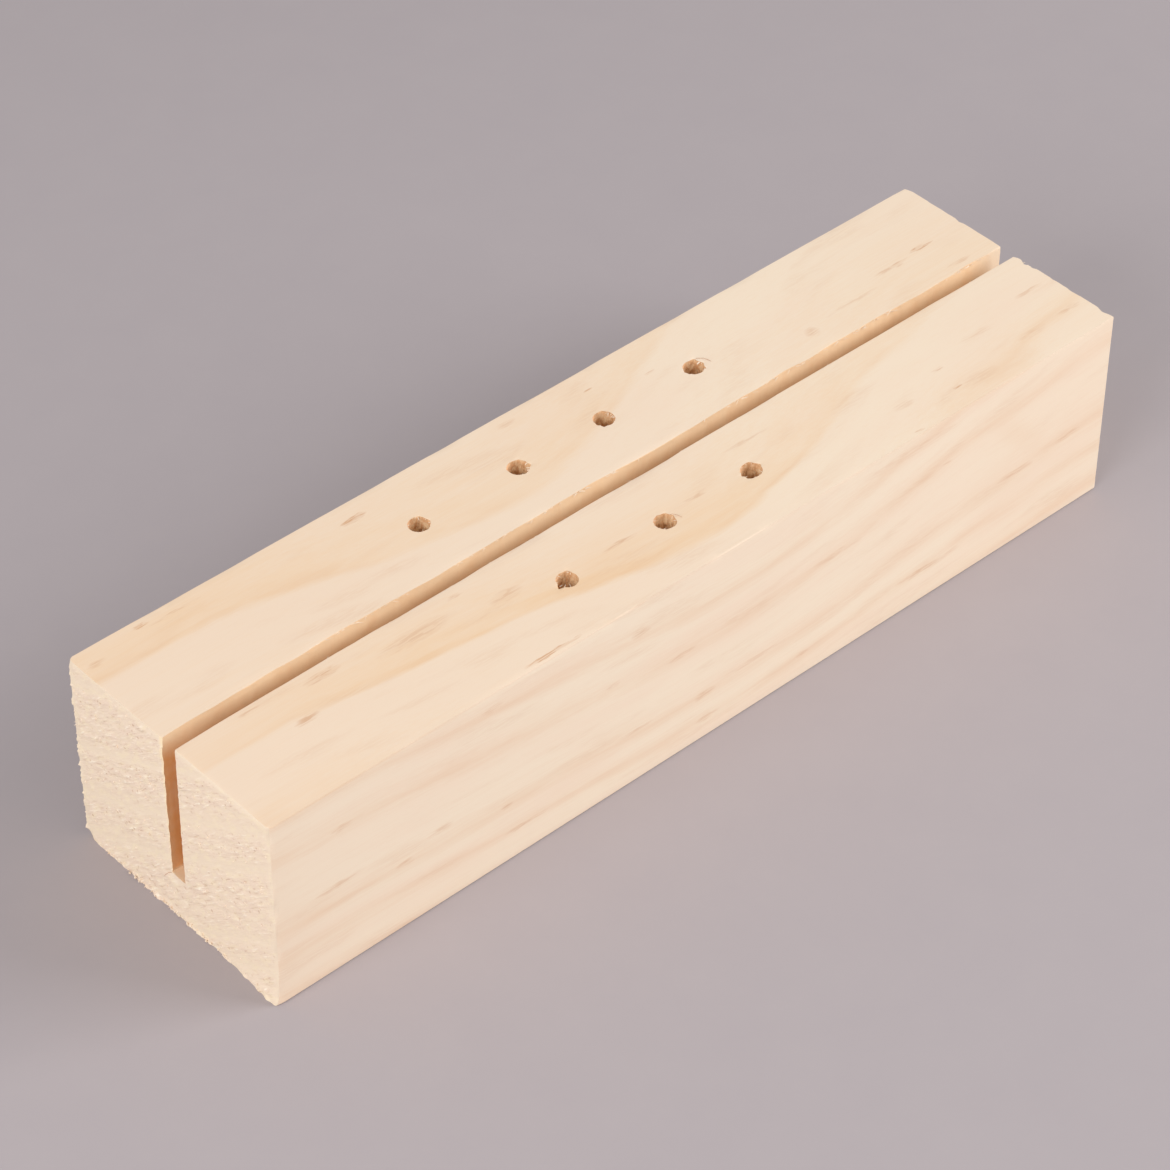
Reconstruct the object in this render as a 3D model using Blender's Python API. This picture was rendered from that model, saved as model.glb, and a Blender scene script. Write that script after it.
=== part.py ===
"""Wooden card stand: one planed pine block with a sawn card slot and two rows of drilled holes.

X runs along the block, Y from its front to its back and Z up. The origin is the middle of the base.
"""

import math

import bmesh
import bpy

MM = 0.001

# The block, crosscut from planed timber
LENGTH = 150.0 * MM
WIDTH = 40.5 * MM
HEIGHT = 31.5 * MM
EDGE_EASE = 0.4 * MM  # set-back of the small flat sanded along each long outer edge

# The card slot: one pass of a circular saw, right through from end to end
SLOT_WIDTH = 2.8 * MM  # the saw's kerf
SLOT_FLOOR = 7.5 * MM  # wood left under the slot

# The drilled holes: a row on each side of the slot, staggered by half a pitch
HOLE_DIAMETER = 3.0 * MM
HOLE_DEPTH = 18.0 * MM  # to the shoulder of the drill point
DRILL_POINT_ANGLE = math.radians(118.0)
HOLE_PITCH = 16.4 * MM
ROW_SPACING = 21.0 * MM  # from one row's line of centres to the other's

# The holes are drilled by hand: how far each one strays along the block from its even pitch
BACK_ROW_STRAY = (-0.8 * MM, 0.1 * MM, -1.0 * MM, -0.8 * MM)
FRONT_ROW_STRAY = (-1.7 * MM, -1.0 * MM, -1.7 * MM)

# How the shapes are made
HOLE_FACETS = 32
CUTTER_CLEARANCE = 2.0 * MM  # how far a drill stands proud of the top face

# Planed, unfinished pine
PINE_COLOUR = (0.87, 0.69, 0.51, 1.0)
PINE_ROUGHNESS = 0.7


def clear_scene():
    """Removes every object that is in the scene."""
    for thing in list(bpy.data.objects):
        bpy.data.objects.remove(thing, do_unlink=True)


def add_object(name, bm):
    """Turns a bmesh into an object of the scene, with its faces pointing out."""
    bmesh.ops.recalc_face_normals(bm, faces=bm.faces)
    mesh = bpy.data.meshes.new(name)
    bm.to_mesh(mesh)
    bm.free()
    made = bpy.data.objects.new(name, mesh)
    bpy.context.scene.collection.objects.link(made)
    return made


def pine():
    """Pale, dry, uncoated wood."""
    material = bpy.data.materials.new("pine")
    material.use_nodes = True
    shader = material.node_tree.nodes["Principled BSDF"]
    shader.inputs["Base Color"].default_value = PINE_COLOUR
    shader.inputs["Roughness"].default_value = PINE_ROUGHNESS
    shader.inputs["Metallic"].default_value = 0.0
    return material


def end_outline():
    """The block's end, a rectangle with the slot let into its top, as (y, z) points from the base's front."""
    side = WIDTH / 2
    lip = SLOT_WIDTH / 2
    return [
        (-side, 0.0),
        (side, 0.0),
        (side, HEIGHT),
        (lip, HEIGHT),
        (lip, SLOT_FLOOR),
        (-lip, SLOT_FLOOR),
        (-lip, HEIGHT),
        (-side, HEIGHT),
    ]


def is_long_outer_edge(edge):
    """True for the four arrises that run along the block's outside."""
    start, end = (vert.co for vert in edge.verts)
    runs_along = abs(end.x - start.x) > LENGTH / 2
    return runs_along and abs(start.y) > (WIDTH - EDGE_EASE) / 2


def slotted_block():
    """The block with its slot: the end's outline pushed along the length, with its long edges eased."""
    bm = bmesh.new()
    near_end = [bm.verts.new((-LENGTH / 2, y, z)) for y, z in end_outline()]
    face = bm.faces.new(near_end)
    pushed = bmesh.ops.extrude_face_region(bm, geom=[face])["geom"]
    far_end = [item for item in pushed if isinstance(item, bmesh.types.BMVert)]
    bmesh.ops.translate(bm, verts=far_end, vec=(LENGTH, 0.0, 0.0))
    arrises = [edge for edge in bm.edges if is_long_outer_edge(edge)]
    bmesh.ops.bevel(bm, geom=arrises, offset=EDGE_EASE, segments=1, affect="EDGES")
    return add_object("slotted_block", bm)


def hole_places():
    """The (x, y) of each hole's centre: the back row from the near end, then the front row."""
    rows = ((ROW_SPACING / 2, BACK_ROW_STRAY), (-ROW_SPACING / 2, FRONT_ROW_STRAY))
    for y, strays in rows:
        first = -(len(strays) - 1) / 2 * HOLE_PITCH
        for count, stray in enumerate(strays):
            yield first + count * HOLE_PITCH + stray, y


def add_drill(bm, x, y):
    """Adds one drill as it stands at the bottom of its hole: half its section, spun about its axis."""
    radius = HOLE_DIAMETER / 2
    shoulder = HEIGHT - HOLE_DEPTH
    tip = shoulder - radius / math.tan(DRILL_POINT_ANGLE / 2)
    top = HEIGHT + CUTTER_CLEARANCE
    section = [(0.0, top), (radius, top), (radius, shoulder), (0.0, tip)]
    verts = [bm.verts.new((x + out, y, z)) for out, z in section]
    edges = [bm.edges.new(pair) for pair in zip(verts, verts[1:])]
    bmesh.ops.spin(
        bm,
        geom=verts + edges,
        cent=(x, y, 0.0),
        axis=(0.0, 0.0, 1.0),
        angle=math.tau,
        steps=HOLE_FACETS,
        use_merge=True,
    )


def drills():
    """All the drills, as one cutter."""
    bm = bmesh.new()
    for x, y in hole_places():
        add_drill(bm, x, y)
    bmesh.ops.remove_doubles(bm, verts=bm.verts, dist=MM / 1000)
    cutter = add_object("drills", bm)
    cutter.display_type = "WIRE"
    cutter.hide_render = True
    return cutter


def main():
    """Saws and drills the stand."""
    clear_scene()
    block = slotted_block()
    block.data.materials.append(pine())
    boring = block.modifiers.new("boring", "BOOLEAN")
    boring.operation = "DIFFERENCE"
    boring.object = drills()


main()
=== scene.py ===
"""Dresses the wooden card stand, a planed, sawn and drilled block of pine, and lights it in a small studio.

Classes work in millimetres. Lengths become metres where a mesh, a lamp or the camera is made.
"""

import itertools
import logging
import math
from dataclasses import dataclass, field
from enum import IntEnum
from typing import Iterator, NamedTuple, Sequence

import bpy
import numpy as np
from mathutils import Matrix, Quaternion, Vector


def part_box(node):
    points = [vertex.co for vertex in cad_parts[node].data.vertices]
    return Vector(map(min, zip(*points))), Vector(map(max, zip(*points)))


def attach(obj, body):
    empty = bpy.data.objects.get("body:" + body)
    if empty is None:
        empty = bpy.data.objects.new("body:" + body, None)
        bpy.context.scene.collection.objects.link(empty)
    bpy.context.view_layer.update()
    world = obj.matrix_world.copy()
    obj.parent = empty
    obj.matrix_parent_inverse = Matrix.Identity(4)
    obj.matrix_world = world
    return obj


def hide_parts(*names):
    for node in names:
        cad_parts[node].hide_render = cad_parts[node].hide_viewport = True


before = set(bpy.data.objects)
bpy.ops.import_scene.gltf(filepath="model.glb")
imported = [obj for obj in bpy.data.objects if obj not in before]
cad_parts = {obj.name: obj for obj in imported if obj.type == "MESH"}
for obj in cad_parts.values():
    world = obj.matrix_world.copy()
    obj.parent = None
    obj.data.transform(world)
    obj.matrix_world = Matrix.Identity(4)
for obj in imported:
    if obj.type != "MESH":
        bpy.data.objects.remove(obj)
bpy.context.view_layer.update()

MM = 0.001
CAD_NODE = "slotted_block"
BODY = "root"
SHARP_ANGLE = 14.0
TOUCHING = 1e-6
LOG = logging.getLogger("card_stand")

# The widths of the narrow cells along a worn edge, from the edge inwards
EDGE_RIM = (0.04, 0.05, 0.06)
BASE_RIM = (*EDGE_RIM, 0.15, 0.2, 0.25)
LIP_RIM = (0.08, 0.09, 0.11)
NO_RIM = ()

# A coarse ring of the block's mesh has one point to this many of a fine ring
THINNING = 3

# A curve is (place, height) points in order, and a span is a range and what its two ends become
Socket = bpy.types.NodeSocket
Feed = Socket | float | Sequence[float]
Colour = tuple[float, ...]
Curve = Sequence[tuple[float, float]]
Range = tuple[float, float]
Span = tuple[float, ...]
Place = tuple[float, float, float]


class Surface(IntEnum):
    """The ways that the wood's surface was made, in the order of the block's materials."""

    PLANED = 0
    END_GRAIN = 1
    SAWN = 2
    DRILLED = 3


class Fibre(IntEnum):
    """The kinds of loose wood, in the order of their materials."""

    PALE = 0
    BROWN = 1


class Plot(IntEnum):
    """Where in the noise each kind of wear is read, in millimetres, so that no two look alike."""

    GRIT_FINE = 3
    RIM_FINE = 5
    LONG_WEAR = 7
    FRINGE_FINE = 9
    BEAD = 13
    TORN = 17
    CROSS_WEAR = 23
    SLOW_WANDER = 31
    FAR_LOSS = 41
    QUICK_WANDER = 57
    LIP_WAVE = 71


class Grain(NamedTuple):
    """A noise: how big its blotches are on each axis, how much finer detail it has and how rough that is."""

    x: float
    y: float
    z: float
    detail: float = 2.0
    rough: float = 0.5


def linear(red: int, green: int, blue: int) -> Colour:
    """Turns a colour as a screen shows it into the light that it stands for.

    Args:
        red: From 0 to 255, as are the other two.
        green: Likewise.
        blue: Likewise.

    Returns:
        Red, green, blue and an alpha of 1, each from 0 to 1.
    """

    def channel(level: int) -> float:
        """One channel, by the screen's own curve."""
        share = level / 255.0
        return share / 12.92 if share <= 0.04045 else ((share + 0.055) / 1.055) ** 2.4

    return channel(red), channel(green), channel(blue), 1.0


def read(curve: Curve, places: np.ndarray) -> np.ndarray:
    """The heights of a curve of straight stretches at some places."""
    return np.interp(places, *zip(*curve))


def fade(gap: np.ndarray, reach: float) -> np.ndarray:
    """Falls from 1 where there is no gap to 0 where it is as wide as the reach, and stays there."""
    return np.clip(1.0 - gap / reach, 0.0, 1.0)


def ruled(start: float, end: float, cells: int, head: Sequence[float], tail: Sequence[float]) -> np.ndarray:
    """Divides a length into even cells, with narrow ones along a worn edge.

    Args:
        start: Where the length starts.
        end: Where it ends, further on.
        cells: How many cells it has.
        head: The widths of the narrow cells at its start, from the edge inwards.
        tail: Those at its end.

    Returns:
        The cells' ends, one more than there are cells.
    """
    even = cells - len(head) - len(tail)
    rest = end - start - sum(head) - sum(tail)
    widths = [*head, *[rest / even] * even, *tail[::-1]]
    return start + np.concatenate([[0.0], np.cumsum(widths)])


class LatticeNoise:
    """Smooth noise between seeded random numbers on a lattice that repeats."""

    def __init__(self, seed: int, side: int = 64) -> None:
        """Draws the lattice.

        Args:
            seed: Makes the same lattice each time.
            side: How many steps the lattice has before it repeats.
        """
        self.side = side
        self.lattice = np.random.default_rng(seed).uniform(-1.0, 1.0, (side, side, side))

    def at(self, points: np.ndarray, step: float | Sequence[float]) -> np.ndarray:
        """Reads the noise.

        Args:
            points: Places in millimetres, one to a row.
            step: The lattice's spacing in millimetres, for all axes or for each.

        Returns:
            A value for each place, from -1 to 1.
        """
        grid = points / np.asarray(step, float)
        low = np.floor(grid).astype(int)
        part = grid - low
        part = part * part * (3.0 - 2.0 * part)
        total = np.zeros(len(points))
        for corner in itertools.product((0, 1), repeat=3):
            place = (low + corner) % self.side
            weight = np.prod(np.where(corner, part, 1.0 - part), axis=1)
            total += weight * self.lattice[tuple(place.T)]
        return total


class MeshDraft:
    """Points and faces on their way to becoming a mesh."""

    def __init__(self) -> None:
        """Starts with nothing."""
        self.points: list[np.ndarray] = []
        self.faces: list[tuple[int, ...]] = []
        self.surfaces: list[int] = []
        self.count = 0

    def add_points(self, points: np.ndarray) -> np.ndarray:
        """Adds points.

        Args:
            points: One to a row, in millimetres.

        Returns:
            Their numbers in the mesh.
        """
        numbers = np.arange(self.count, self.count + len(points))
        self.points.append(np.asarray(points, float))
        self.count += len(points)
        return numbers

    def add_face(self, corners: Sequence[int], surface: IntEnum) -> None:
        """Adds one face, its corners in order as seen from outside."""
        self.faces.append(tuple(int(corner) for corner in corners))
        self.surfaces.append(int(surface))

    def bridge(self, first: np.ndarray, second: np.ndarray, surface: IntEnum) -> None:
        """Joins two closed rings of as many points with quads.

        Args:
            first: The numbers of the ring that the faces start from.
            second: The numbers of the other ring.
            surface: How the surface between them was made.
        """
        for a, b, c, d in zip(first, np.roll(first, -1), np.roll(second, -1), second):
            self.add_face((a, b, c, d), surface)

    def tube(self, outer: np.ndarray | None, ring: np.ndarray, surface: IntEnum) -> np.ndarray:
        """Carries a tube on by one ring, or closes its start if it has none yet.

        Args:
            outer: The numbers of the tube's last ring, if there is one.
            ring: The numbers of the next ring.
            surface: How the tube's surface was made.

        Returns:
            The next ring, which is the last one now.
        """
        if outer is None:
            self.add_face(ring[::-1], surface)
        else:
            self.bridge(outer, ring, surface)
        return ring

    def taper(self, ring: np.ndarray, tip: Sequence[float], surface: IntEnum) -> None:
        """Joins a closed ring to one point.

        Args:
            ring: The ring's numbers.
            tip: Where the point is.
            surface: How the surface between them was made.
        """
        point = self.add_points(np.array([tip]))[0]
        for a, b in zip(ring, np.roll(ring, -1)):
            self.add_face((a, b, point), surface)

    def array(self) -> np.ndarray:
        """All the points, one to a row."""
        return np.concatenate(self.points)

    def to_object(
        self, name: str, points: np.ndarray, materials: Sequence[bpy.types.Material]
    ) -> bpy.types.Object:
        """Makes the object.

        Args:
            name: The piece's name.
            points: The points as they end up, in millimetres.
            materials: One for each surface that the faces name.

        Returns:
            The object, in the scene.
        """
        mesh = bpy.data.meshes.new(name)
        mesh.from_pydata((points * MM).tolist(), [], self.faces)
        for material in materials:
            mesh.materials.append(material)
        mesh.polygons.foreach_set("material_index", self.surfaces)
        mesh.shade_smooth()
        mesh.set_sharp_from_angle(angle=math.radians(SHARP_ANGLE))
        mesh.update()
        made = bpy.data.objects.new(name, mesh)
        bpy.context.scene.collection.objects.link(made)
        return made


class NodeBench:
    """One material's nodes, laid down by short calls that take either a socket or a plain value."""

    def __init__(self, name: str) -> None:
        """Starts a material with its Principled shader.

        Args:
            name: The material's name.
        """
        self.material = bpy.data.materials.new(name)
        self.material.use_nodes = True
        self.tree = self.material.node_tree
        self.shader = self.tree.nodes["Principled BSDF"]

    def feed(self, target: Socket, value: Feed) -> None:
        """Links a socket to an input, or sets the input's own value.

        Args:
            target: The input.
            value: The socket, or the plain value.
        """
        if isinstance(value, Socket):
            self.tree.links.new(value, target)
        else:
            target.default_value = value

    def node(self, kind: str, feeds: dict[str | int, Feed], **settings: object) -> bpy.types.Node:
        """Adds a node.

        Args:
            kind: The node's type, without the words that all of them start with.
            feeds: What goes into its inputs, by name or by number.
            settings: Its other properties.

        Returns:
            The node.
        """
        made = self.tree.nodes.new("ShaderNode" + kind)
        for key, value in settings.items():
            setattr(made, key, value)
        for key, value in feeds.items():
            self.feed(made.inputs[key], value)
        return made

    def math(self, operation: str, *values: Feed, clamp: bool = False) -> Socket:
        """The result of one sum on one to three values."""
        return self.node("Math", dict(enumerate(values)), operation=operation, use_clamp=clamp).outputs[0]

    def times(self, first: Feed, second: Feed) -> Socket:
        """The product of two values."""
        return self.math("MULTIPLY", first, second)

    def centred(self, value: Feed) -> Socket:
        """A value from 0 to 1 as one from -0.5 to 0.5."""
        return self.math("SUBTRACT", value, 0.5)

    def span(
        self, value: Feed, low: float, high: float, to_low: float = 0.0, to_high: float = 1.0
    ) -> Socket:
        """Maps a value from one range to another, and holds it there.

        Args:
            value: What is mapped.
            low: Where the range starts.
            high: Where it ends.
            to_low: What the start becomes.
            to_high: What the end becomes.

        Returns:
            The mapped value.
        """
        feeds = {"Value": value, "From Min": low, "From Max": high, "To Min": to_low, "To Max": to_high}
        return self.node("MapRange", feeds, clamp=True).outputs["Result"]

    def vector(self, operation: str, *values: Feed) -> bpy.types.Node:
        """A sum on one to three vectors, as its node."""
        return self.node("VectorMath", dict(enumerate(values)), operation=operation)

    def dot(self, first: Feed, second: Feed) -> Socket:
        """How far one vector reaches along another, times the other's length."""
        return self.vector("DOT_PRODUCT", first, second).outputs["Value"]

    def place(self, x: Feed, y: Feed, z: Feed) -> Socket:
        """Three values as one vector."""
        return self.node("CombineXYZ", {0: x, 1: y, 2: z}).outputs[0]

    def parts(self, vector: Socket) -> Sequence[Socket]:
        """A vector's three values."""
        return self.node("SeparateXYZ", {0: vector}).outputs

    def millimetres(self) -> Socket:
        """Where the point is on its piece, in millimetres."""
        spot = self.node("TexCoord", {}).outputs["Object"]
        return self.node("VectorMath", {0: spot, "Scale": 1.0 / MM}, operation="SCALE").outputs[0]

    def scaled(self, vector: Socket, *sizes: float) -> Socket:
        """A vector with each of its parts in units of its own size."""
        return self.vector("MULTIPLY", vector, tuple(1.0 / size for size in sizes)).outputs[0]

    def noise(self, vector: Socket, grain: Grain) -> Socket:
        """Smooth noise.

        Args:
            vector: Where the noise is read.
            grain: What it is like.

        Returns:
            From 0 to 1, and mostly near the middle.
        """
        spot = self.scaled(vector, grain.x, grain.y, grain.z)
        feeds = {"Vector": spot, "Scale": 1.0, "Detail": grain.detail, "Roughness": grain.rough}
        return self.node("TexNoise", feeds).outputs[0]

    def flecks(self, vector: Feed, core: float, reach: float, share: float) -> Socket:
        """Scattered flecks, at most one in each unit of the vector.

        Args:
            vector: Where the flecks are read.
            core: How far from its middle a fleck is full, in units.
            reach: How far from its middle it has faded out.
            share: How many of the units have none, from 0 to 1.

        Returns:
            From 0 to 1, the fleck's depth.
        """
        cells = self.node("TexVoronoi", {"Vector": vector, "Scale": 1.0}, feature="F1")
        body = self.span(cells.outputs["Distance"], core, reach, 1.0, 0.0)
        draw = self.node("SeparateColor", {0: cells.outputs["Color"]}).outputs[0]
        return self.times(body, self.span(draw, share, 1.0))

    def mix(self, share: Feed, under: Feed, over: Feed) -> Socket:
        """Lays one colour over another.

        The Mix node's colour sockets go by number, because other sockets there have the same names.

        Args:
            share: How much of the upper colour shows.
            under: The lower colour.
            over: The upper colour.

        Returns:
            The mixed colour.
        """
        return self.node("Mix", {0: share, 6: under, 7: over}, data_type="RGBA").outputs[2]

    def curve(self, value: Feed, points: Curve) -> Socket:
        """A smooth curve through a few points, held level past its ends.

        Args:
            value: Where the curve is read.
            points: Its (place, height) points in order.

        Returns:
            The curve's height there.
        """
        places, heights = zip(*points)
        low, high = min(heights), max(heights)
        share = self.span(value, places[0], places[-1])
        made = self.node("FloatCurve", {"Value": share})
        line = made.mapping.curves[0]
        for number, (place, height) in enumerate(points):
            spot = ((place - places[0]) / (places[-1] - places[0]), (height - low) / (high - low))
            if number == 0:
                line.points[0].location = spot
            elif number == len(points) - 1:
                line.points[len(line.points) - 1].location = spot
            else:
                line.points.new(*spot)
        made.mapping.update()
        return self.math("MULTIPLY_ADD", made.outputs[0], high - low, low)

    def ramp(self, value: Feed, stops: Curve) -> Socket:
        """Straight steps between grey levels.

        Args:
            value: Where the ramp is read.
            stops: Its (place, level) stops in order, at most 32 of them.

        Returns:
            The level there, from 0 to 1.
        """
        low, high = stops[0][0], stops[-1][0]
        made = self.node("ValToRGB", {"Fac": self.span(value, low, high)})
        line = made.color_ramp.elements
        while len(line) < len(stops):
            line.new(1.0)
        for element, (place, level) in zip(line, stops):
            element.position = (place - low) / (high - low)
            element.color = (level, level, level, 1.0)
        return made.outputs["Color"]

    def bump(self, height: Feed, depth: float, strength: float) -> None:
        """Raises the surface by a height from 0 to 1.

        Args:
            height: The height.
            depth: What a height of 1 stands for, in millimetres.
            strength: How much of the tilt shows, from 0 to 1.
        """
        made = self.node("Bump", {"Height": height, "Distance": depth * MM, "Strength": strength})
        self.feed(self.shader.inputs["Normal"], made.outputs[0])

    def surface(self, colour: Feed, rough: Feed, gloss: float) -> bpy.types.Material:
        """Feeds the shader.

        Args:
            colour: The surface's colour.
            rough: Its roughness.
            gloss: How strongly it reflects, where 0.5 is usual.

        Returns:
            The finished material.
        """
        feeds = {"Base Color": colour, "Roughness": rough, "Specular IOR Level": gloss}
        for key, value in feeds.items():
            self.feed(self.shader.inputs[key], value)
        return self.material


class GrowthLayer(NamedTuple):
    """One year's latewood.

    It has a level, a width over which it comes in, the depths of its dark line and of its shade, and a width
    over which the shade fades.
    """

    level: float
    edge: float
    line: float
    shade: float
    fade: float


class Figure(NamedTuple):
    """The wood at a point: a vector along, into and across the layers, and the level and latewood there."""

    grain: Socket
    layer: Socket
    line: Socket
    shade: Socket


@dataclass(frozen=True)
class GrowthFigure:
    """The growth layers that run through the whole block, so that every cut face shows the same ones.

    A layer's level is its height over the middle of the base. Layers fall towards the back by the tilt, more
    steeply in front by the bow, and dip near the middle of the length, where the grain passed a branch.
    """

    tilt: float = 0.56
    bow: float = -0.003
    layers: tuple[GrowthLayer, ...] = (
        GrowthLayer(-15.5, 1.2, 0.25, 0.4, 1.4),
        GrowthLayer(-9.4, 1.6, 0.25, 0.38, 1.1),
        GrowthLayer(-4.9, 1.6, 0.25, 0.38, 1.8),
        GrowthLayer(4.5, 1.6, 0.25, 0.38, 1.8),
        GrowthLayer(10.9, 1.6, 0.25, 0.38, 2.0),
        GrowthLayer(21.0, 0.38, 0.35, 0.8, 4.4),
        GrowthLayer(34.2, 0.38, 0.4, 0.72, 4.4),
    )

    # How far the layers rise from the dip, by the place along the block, and the share of it by height
    rise: Curve = (
        (-75.0, 7.8), (-63.0, 7.2), (-46.0, 5.2), (-27.0, 3.2), (-14.0, 1.4), (-3.0, 0.5), (4.0, 0.3),
        (14.0, 1.2), (22.0, 2.3), (31.0, 4.2), (42.0, 6.5), (48.0, 7.6), (57.0, 8.4), (66.0, 9.8),
        (75.0, 10.5),
    )
    rise_share: Curve = (
        (-13.0, 0.45), (-4.0, 0.52), (2.0, 0.63), (8.0, 0.9), (13.0, 1.0), (19.0, 1.05), (22.0, 1.17),
        (27.0, 0.94), (31.0, 0.94), (36.0, 1.0), (42.0, 1.0),
    )

    # High layers dip nearer the near end, by the shift, and run level up to the least place
    shift_levels: tuple[float, float] = (24.0, 36.0)
    shift: float = 17.0
    least: Curve = ((20.0, -75.0), (27.0, -57.0), (36.0, -40.0))

    # How fully the latewood of the two uppermost layers came in along the block
    front_full: Curve = (
        (-75.0, 0.45), (-52.0, 0.9), (-25.0, 1.2), (-5.0, 1.2), (15.0, 0.82), (35.0, 0.55), (75.0, 0.5),
    )
    back_full: Curve = ((-75.0, 1.0), (-30.0, 0.82), (0.0, 0.72), (20.0, 0.5), (75.0, 0.5))
    thin_levels: tuple[float, float] = (17.0, 33.0)

    # The latewood's section through a layer
    crest: float = 0.3
    line_width: float = 1.5
    fade_out: float = 2.2
    faded_share: float = 0.45
    clear_below: float = 2.0
    clear_above: float = 12.0
    wander: float = 1.0
    drift: Grain = Grain(28.0, 9.0, 9.0)
    feather: float = 0.5
    rag: Grain = Grain(7.0, 1.3, 1.3)

    # What a saw does: how far from a level the layers tear or are cut clean, and its way over the end
    torn_below: float = 2.4
    clean_below: float = 0.6
    torn_above: float = 1.8
    clean: float = 0.05
    torn_margins: tuple[float, float] = (4.0, 8.0)
    saw_way: float = 0.84

    def lines(self) -> Curve:
        """The depth of the dark lines by level.

        Returns:
            (level, depth) points in order.
        """
        found = [(self.layers[0].level - self.clear_below, 0.0)]
        for layer in self.layers:
            found += [(layer.level - layer.edge, 0.0), (layer.level + self.crest, layer.line)]
            found += [(layer.level + self.line_width, 0.0)]
        return found + [(self.layers[-1].level + self.clear_above, 0.0)]

    def shades(self) -> Curve:
        """The depth of the shades by level: a quick rise, then a fade that slows.

        Returns:
            (level, depth) points in order.
        """
        found = [(self.layers[0].level - self.clear_below, 0.0)]
        for layer in self.layers:
            found += [(layer.level - layer.edge, 0.0), (layer.level + self.crest, layer.shade)]
            found += [(layer.level + layer.fade, layer.shade * self.faded_share)]
            found += [(layer.level + self.fade_out * layer.fade, 0.0)]
        return found + [(self.layers[-1].level + self.clear_above, 0.0)]

    def tearing(self) -> Curve:
        """How rough a saw leaves the end grain by level: torn between the layers, clean at the latewood.

        Returns:
            (level, roughness) points in order, where 1 is torn and 0 would be quite clean.
        """
        below, above = self.torn_margins
        found = [(self.layers[0].level - below, 1.0)]
        for layer in self.layers:
            found += [(layer.level - self.torn_below, 1.0), (layer.level - self.clean_below, self.clean)]
            found += [(layer.level + self.torn_above, 1.0)]
        return found + [(self.layers[-1].level + above, 1.0)]

    def level(self, points: np.ndarray) -> np.ndarray:
        """The level that the layers have at some points of the block.

        Args:
            points: The points in millimetres, one to a row.

        Returns:
            A level for each.
        """
        x, y, z = points.T
        height = z + y * (self.tilt + self.bow * y)
        place = x + np.interp(height, self.shift_levels, (0.0, self.shift))
        place = np.maximum(place, read(self.least, height))
        return height - read(self.rise, place) * read(self.rise_share, height)

    def lay(self, bench: NodeBench) -> Figure:
        """Lays the nodes that read the figure at a point of the object.

        Args:
            bench: The material's nodes.

        Returns:
            The figure's sockets.
        """
        spot = bench.millimetres()
        x, y, z = bench.parts(spot)
        height = bench.math("MULTIPLY_ADD", y, bench.math("MULTIPLY_ADD", y, self.bow, self.tilt), z)
        place = bench.math("ADD", x, bench.span(height, *self.shift_levels, 0.0, self.shift))
        place = bench.math("MAXIMUM", place, bench.curve(height, self.least))
        rise = bench.times(bench.curve(place, self.rise), bench.curve(height, self.rise_share))
        drift = bench.centred(bench.noise(spot, self.drift))
        ragged = bench.centred(bench.noise(spot, self.rag))
        layer = bench.math("MULTIPLY_ADD", drift, self.wander, bench.math("SUBTRACT", height, rise))
        layer = bench.math("MULTIPLY_ADD", ragged, self.feather, layer)
        grain = bench.place(x, layer, bench.math("MULTIPLY_ADD", z, -self.tilt, y))
        full = self.fullness(bench, x, layer)
        line = bench.times(full, bench.ramp(layer, self.lines()))
        shade = bench.times(full, bench.ramp(layer, self.shades()))
        return Figure(grain, layer, line, shade)

    def fullness(self, bench: NodeBench, x: Socket, layer: Socket) -> Socket:
        """How fully the latewood came in, which changes along the block in the two uppermost layers.

        Args:
            bench: The material's nodes.
            x: The place along the block.
            layer: The level there.

        Returns:
            The share of the latewood, where 1 is usual.
        """
        front, back = bench.curve(x, self.front_full), bench.curve(x, self.back_full)
        upper = bench.math("GREATER_THAN", layer, self.thin_levels[1])
        share = bench.math("MULTIPLY_ADD", upper, bench.math("SUBTRACT", back, front), front)
        lower = bench.math("LESS_THAN", layer, self.thin_levels[0])
        return bench.math("MULTIPLY_ADD", lower, bench.math("SUBTRACT", 1.0, share), share)


class Fleck(NamedTuple):
    """A cluster of brown resin ducts: its middle on a face, its length and width there, and its depth."""

    along: float
    across: float
    length: float
    width: float
    depth: float


class Stain(NamedTuple):
    """A soft slanted stain: its middle, the way across it, its reach across and up, and its share."""

    middle: Place
    across: Place
    reach: tuple[float, float]
    share: float


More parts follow.
